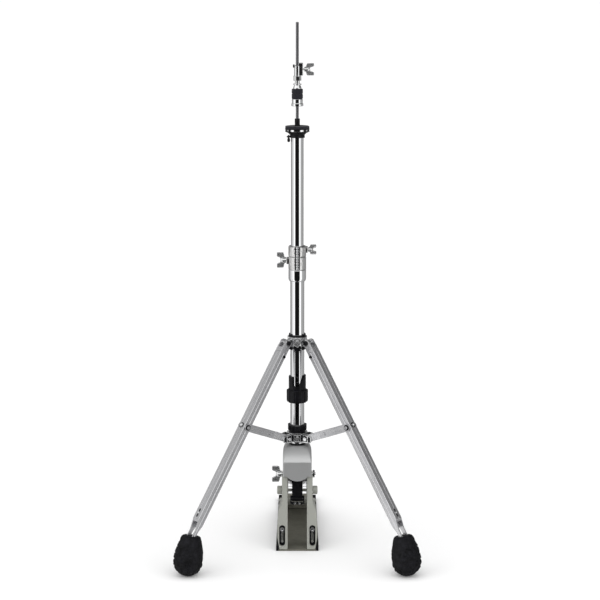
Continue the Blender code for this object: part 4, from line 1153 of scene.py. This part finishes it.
def make_spurs():
    for label, side in (("left", -1), ("right", 1)):
        where = shift(side * SPUR_X, SPUR_Y, 0)
        spike = spindle([(3.1, 56), (3.4, 55.6), (3.4, 6.5), (0.6, 1.2)], 0.3, 4, where, 40)
        screw = cap_screw(4.8, 3.4, shift(0, -10.3, 45) @ TO_FRONT, 2.4)
        shank = cylinder(2.4, -8, 0, shift(0, -10.3, 45) @ TO_FRONT, 24)
        set_screw = joined(screw, shank)
        set_screw.transform(where)
        piece(label + "_spur_steel", joined(spike, set_screw), label + "_spur", SATIN,
              [label + "_spur"])


def make_frame_bolt():
    y, z = FRAME_BOLT
    screw = weld(wing_form(1.05, 6.5, 11.6),
                 cylinder(2.8, -69, 1, facets=32))
    screw.transform(shift(-POST_TOP_OUT, y, z) @ TO_LEFT @ turn("Z", 90))
    piece("frame_wing", screw, "frame_screw", SATIN, ["frame_wing_screw"])
    nut = hex_head(8.0, 3.9, shift(POST_TOP_OUT + 0.3, y, z) @ TO_RIGHT)
    nut = carve(nut, cylinder(3.3, 20, 60,
                           shift(0, y, z) @ TO_RIGHT, 32))
    piece("frame_lock_nut", nut, "stand", CHROME, ["frame_nut"])


# ---------------------------------------------------------------- footboard

HEEL_AXIS = (258.0, 20.0)
TOE_PIN = (0.0, 103.0)


def make_footboard():
    y, z = HEEL_AXIS
    reach, rise = y - TOE_PIN[0], TOE_PIN[1] - z
    slope = math.degrees(math.atan2(rise, reach))
    long = math.hypot(rise, reach)
    toe_body, thick = long - 27.0, 6.0
    half = [(30.4, 10.0), (39.0, 16.0), (40.0, 120.0), (37.0, toe_body - 22), (31.0, toe_body),
            (14.5, toe_body + 2.0), (14.5, long - 6.6)]
    outline = rounded(half + [(-x, s) for x, s in reversed(half)], 5.0, 5)
    board = prism(outline, thick, AXIS, 1.2, 3)
    # long grooves give the tread its grip
    for index in range(-3, 4):
        groove = stadium(1.3, 34.0, toe_body - 24 - 6 * abs(index))
        board = carve(board, prism(groove, 1.6, shift(9.0 * index, 0, thick / 2), 0))
    board.transform(turn("Z", 180))
    board.transform(turn("X", -slope))
    for x in (-19.7, 19.7):
        barrel = lathe(ring(6.0, 2.9, -10, 10, 0.5), shift(x, 0, 0) @ TO_RIGHT, 48)
        link = block((20.0, 14.0, thick), shift(x, -9.5, 2.9) @ turn("X", -slope), 0.6)
        board = joined(board, barrel, link)
    board.transform(shift(0, y, z))
    piece("footboard_casting", board, "footboard", CASTING, ["footboard"])


STRAP_PIN_Z = 148.0


def make_toe():
    y, z = TOE_PIN
    jaw_outline = [(-6, -6), (10.5, -6), (10.5, 1.5), (5, 6), (-3, 6), (-6, 3)]
    jaw = prism(rounded(jaw_outline, 1.2), 29.0, BLADE, 0.6, 3)
    jaw = carve(jaw, block((23.0, 15.4, 40), shift(0, -1.2, 10), 0),
                cylinder(2.8, -40, 40, TO_RIGHT, 32))
    lip = block((24.0, 2.4, 4.6), shift(0, -7.0, -7.4), 0.8, 3)
    jaw = joined(jaw, lip, *[block((3.0, 4.0, 8.0), shift(x, -5.4, -5.4), 0.6) for x in (-13, 13)])
    jaw.transform(shift(0, y, z))
    piece("toe_jaw", jaw, "footboard", PLASTIC, ["toe_clamp"])
    screws = [cap_screw(2.7, 1.8, shift(x, y - 8.0, z - 7.4) @ TO_FRONT, 1.3)
              for x in (-4.4, 4.4)]
    piece("toe_screws", joined(*screws), "footboard", SATIN)


def make_strap():
    drop = STRAP_PIN_Z - TOE_PIN[1]
    width = 21.6
    band = []
    for height, bore in ((0.0, 2.9), (-drop, 3.3)):
        eye = lathe(ring(bore + 1.8, bore, -width / 2, width / 2, 0.4), TO_RIGHT, 40)
        eye.transform(shift(0, 0, height))
        band.append(eye)
    # the belt has raised selvedges along both edges
    band.append(block((width, 2.4, drop - 7), shift(0, 0, -drop / 2), 0.6, 3))
    for x in (-8.8, 8.8):
        band.append(block((2.2, 3.4, drop - 9), shift(x, 0, -drop / 2), 0.7, 3))
    for index in range(5):
        band.append(block((14.0, 2.9, 1.0), shift(0, 0, -9 - 6.6 * index), 0.3))
    belt = joined(*band)
    belt.transform(shift(0, 0, STRAP_PIN_Z))
    piece("drive_belt", belt, "strap", RUBBER, ["strap"])


def make_rod_fork():
    fork = block((29.0, 7.6, 23.0), shift(0, 0, STRAP_PIN_Z + 5.5), 1.2, 3)
    fork = carve(fork, block((22.8, 20, 20), shift(0, 0, STRAP_PIN_Z - 3.5), 0),
                 cylinder(2.7, -40, 40,
                       shift(0, 0, STRAP_PIN_Z) @ TO_RIGHT, 32),
                 cylinder(3.3, 150, 180, facets=32))
    piece("rod_fork_forging", fork, "pull_rod", STEEL, ["rod_fork"])


def make_heel():
    y, z = HEEL_AXIS
    front = y + 7.5
    back = extent("heel_plate")[1].y
    plate = block((70, back - front, 15), shift(0, (front + back) / 2, 10.8), 2.0, 4)
    for x, width in ((-32.6, 4.8), (0.0, 17.6), (32.6, 4.8)):
        lug = cylinder(6, -width / 2, width / 2,
                    shift(x, y, z) @ TO_RIGHT, 48)
        plate = weld(plate, lug, block((width, 14, 8), shift(x, y + 5, z - 6), 0))
    plate = carve(plate, cylinder(2.9, -50, 50,
                               shift(0, y, z) @ TO_RIGHT, 32))
    for index in range(7):
        rib = block((52, 2.0, 1.6), shift(0, front + 12 + 9 * index, 18.6), 0)
        plate = carve(plate, rib)
    piece("heel_casting", plate, "stand", PLATE, ["heel_plate"])
    screws = [cap_screw(4.2, 1.4, shift(x, y_at, 17.9), 2.0)
              for x in (-30, 30) for y_at in (front + 12, back - 8)]
    piece("heel_screws", joined(*screws), "stand", CHROME)


# ---------------------------------------------------------------- the other CAD nodes

def dress_the_rest():
    """Nodes without a detailed piece keep their CAD mesh, with a material of their own."""
    for node in sorted(NODES):
        if not NODES[node].hide_render:
            dress(node, FINISHES[SLOT_OF[node]])


# ---------------------------------------------------------------- camera, light and floor

# brightness of the studio walls at angles from the front, left negative
WALLS = [(-180, 0.14), (-140, 0.26), (-104, 0.30), (-93, 0.72), (-80, 0.72), (-72, 0.50),
         (-62, 1.05), (-43, 1.0), (-36, 0.006), (30, 0.006), (37, 1.0), (58, 1.0), (68, 0.36),
         (140, 0.26), (180, 0.14)]
# the ceiling by the upward part of the direction, and by the same angles
CEILING = [(0.0, 0.8), (0.35, 1.1), (0.50, 1.1), (0.70, 0.25), (1.0, 0.12)]
CEILING_SIDES = [(-180, 0.3), (-100, 0.40), (-70, 1.0), (40, 1.0), (68, 0.12), (180, 0.10)]
CEILING_START = (0.06, 0.30)
WALL_LIGHT = 1.25
# metres and degrees
CAMERA_AT, CAMERA_DIP, CAMERA_LENS, CAMERA_SHIFT = (0.0, -3.80, 1.212), 10.3, 114.0, 0.0045
SUN_STRENGTH, SUN_SPREAD, SUN_TURN = 3.1, 120, (28, 0, 8)
FLOOR_REACH, FLOOR_DROP, FLOOR_GREY = 900.0, 0.0005, 0.91


def make_camera():
    lens = bpy.data.cameras.new("camera")
    lens.lens = CAMERA_LENS
    lens.shift_x = CAMERA_SHIFT
    lens.clip_end = 200.0
    camera = bpy.data.objects.new("camera", lens)
    camera.location = CAMERA_AT
    camera.rotation_euler = (math.radians(90 - CAMERA_DIP), 0.0, 0.0)
    bpy.context.scene.collection.objects.link(camera)
    bpy.context.scene.camera = camera


def make_floor():
    form = bmesh.new()
    bmesh.ops.create_grid(form, x_segments=1, y_segments=1, size=FLOOR_REACH)
    floor = as_object(form, "floor")
    floor.location = (0, 0, -FLOOR_DROP)
    paper = Finish("pale_floor", (FLOOR_GREY,) * 3, 0.9)
    floor.data.materials.append(paper.material)
    floor.visible_glossy = False


def make_world():
    """Studio walls by their angle from the front: a dark gap, white panels, and grey behind."""
    world = bpy.data.worlds.new("studio")
    bpy.context.scene.world = world
    world.use_nodes = True
    nodes, links = world.node_tree.nodes, world.node_tree.links
    coords = nodes.new("ShaderNodeTexCoord")
    split = nodes.new("ShaderNodeSeparateXYZ")
    links.new(coords.outputs["Generated"], split.inputs["Vector"])

    def compute(operation, first, second=None, constant=None):
        node = nodes.new("ShaderNodeMath")
        node.operation = operation
        links.new(first, node.inputs[0])
        if second:
            links.new(second, node.inputs[1])
        if constant is not None:
            node.inputs[1].default_value = constant
        return node.outputs[0]

    towards = compute("MULTIPLY", split.outputs["Y"], constant=-1.0)
    angle = compute("ARCTAN2", split.outputs["X"], towards)
    turns = compute("DIVIDE", compute("ADD", angle, constant=math.pi), constant=2 * math.pi)

    def spread(value, stops):
        ramp = nodes.new("ShaderNodeValToRGB")
        links.new(value, ramp.inputs["Fac"])
        elements = ramp.color_ramp.elements
        while len(elements) < len(stops):
            elements.new(0.5)
        for element, (position, level) in zip(elements, stops):
            element.position = position
            element.color = (level, level, level, 1)
        return ramp.outputs["Color"]

    def by_angle(stops):
        return spread(turns, [((degrees + 180) / 360, level) for degrees, level in stops])

    walls = by_angle(WALLS)
    ceiling = compute("MULTIPLY", spread(split.outputs["Z"], CEILING), by_angle(CEILING_SIDES))
    share = nodes.new("ShaderNodeMapRange")
    share.inputs["From Min"].default_value = CEILING_START[0]
    share.inputs["From Max"].default_value = CEILING_START[1]
    links.new(split.outputs["Z"], share.inputs["Value"])
    mix = nodes.new("ShaderNodeMix")
    mix.data_type = "RGBA"
    links.new(share.outputs["Result"], mix.inputs["Factor"])
    links.new(walls, mix.inputs["A"])
    links.new(ceiling, mix.inputs["B"])
    background = nodes["Background"]
    links.new(mix.outputs["Result"], background.inputs["Color"])
    background.inputs["Strength"].default_value = WALL_LIGHT


def make_sun():
    """Even, very soft light from above and a little from the front."""
    data = bpy.data.lights.new("sky", "SUN")
    data.energy = SUN_STRENGTH
    data.angle = math.radians(SUN_SPREAD)
    sun = bpy.data.objects.new("sky", data)
    sun.rotation_euler = [math.radians(degrees) for degrees in SUN_TURN]
    sun.visible_glossy = False
    bpy.context.scene.collection.objects.link(sun)


def make_stage():
    bpy.context.scene.view_settings.view_transform = "Standard"
    make_camera()
    make_floor()
    make_world()
    make_sun()


make_stage()
make_tubes()
make_rods()
make_clutch()
make_seat()
make_clamps()
make_adjuster()
make_upper_hub()
make_lower_hub()
make_pivot_bolts()
for side_name, side_yaw in SIDES:
    make_leg(side_name, side_yaw)
    make_foot(side_name, side_yaw)
    make_brace(side_name, side_yaw)
make_hood()
make_yoke()
make_spurs()
make_frame_bolt()
make_footboard()
make_toe()
make_strap()
make_rod_fork()
make_heel()
dress_the_rest()
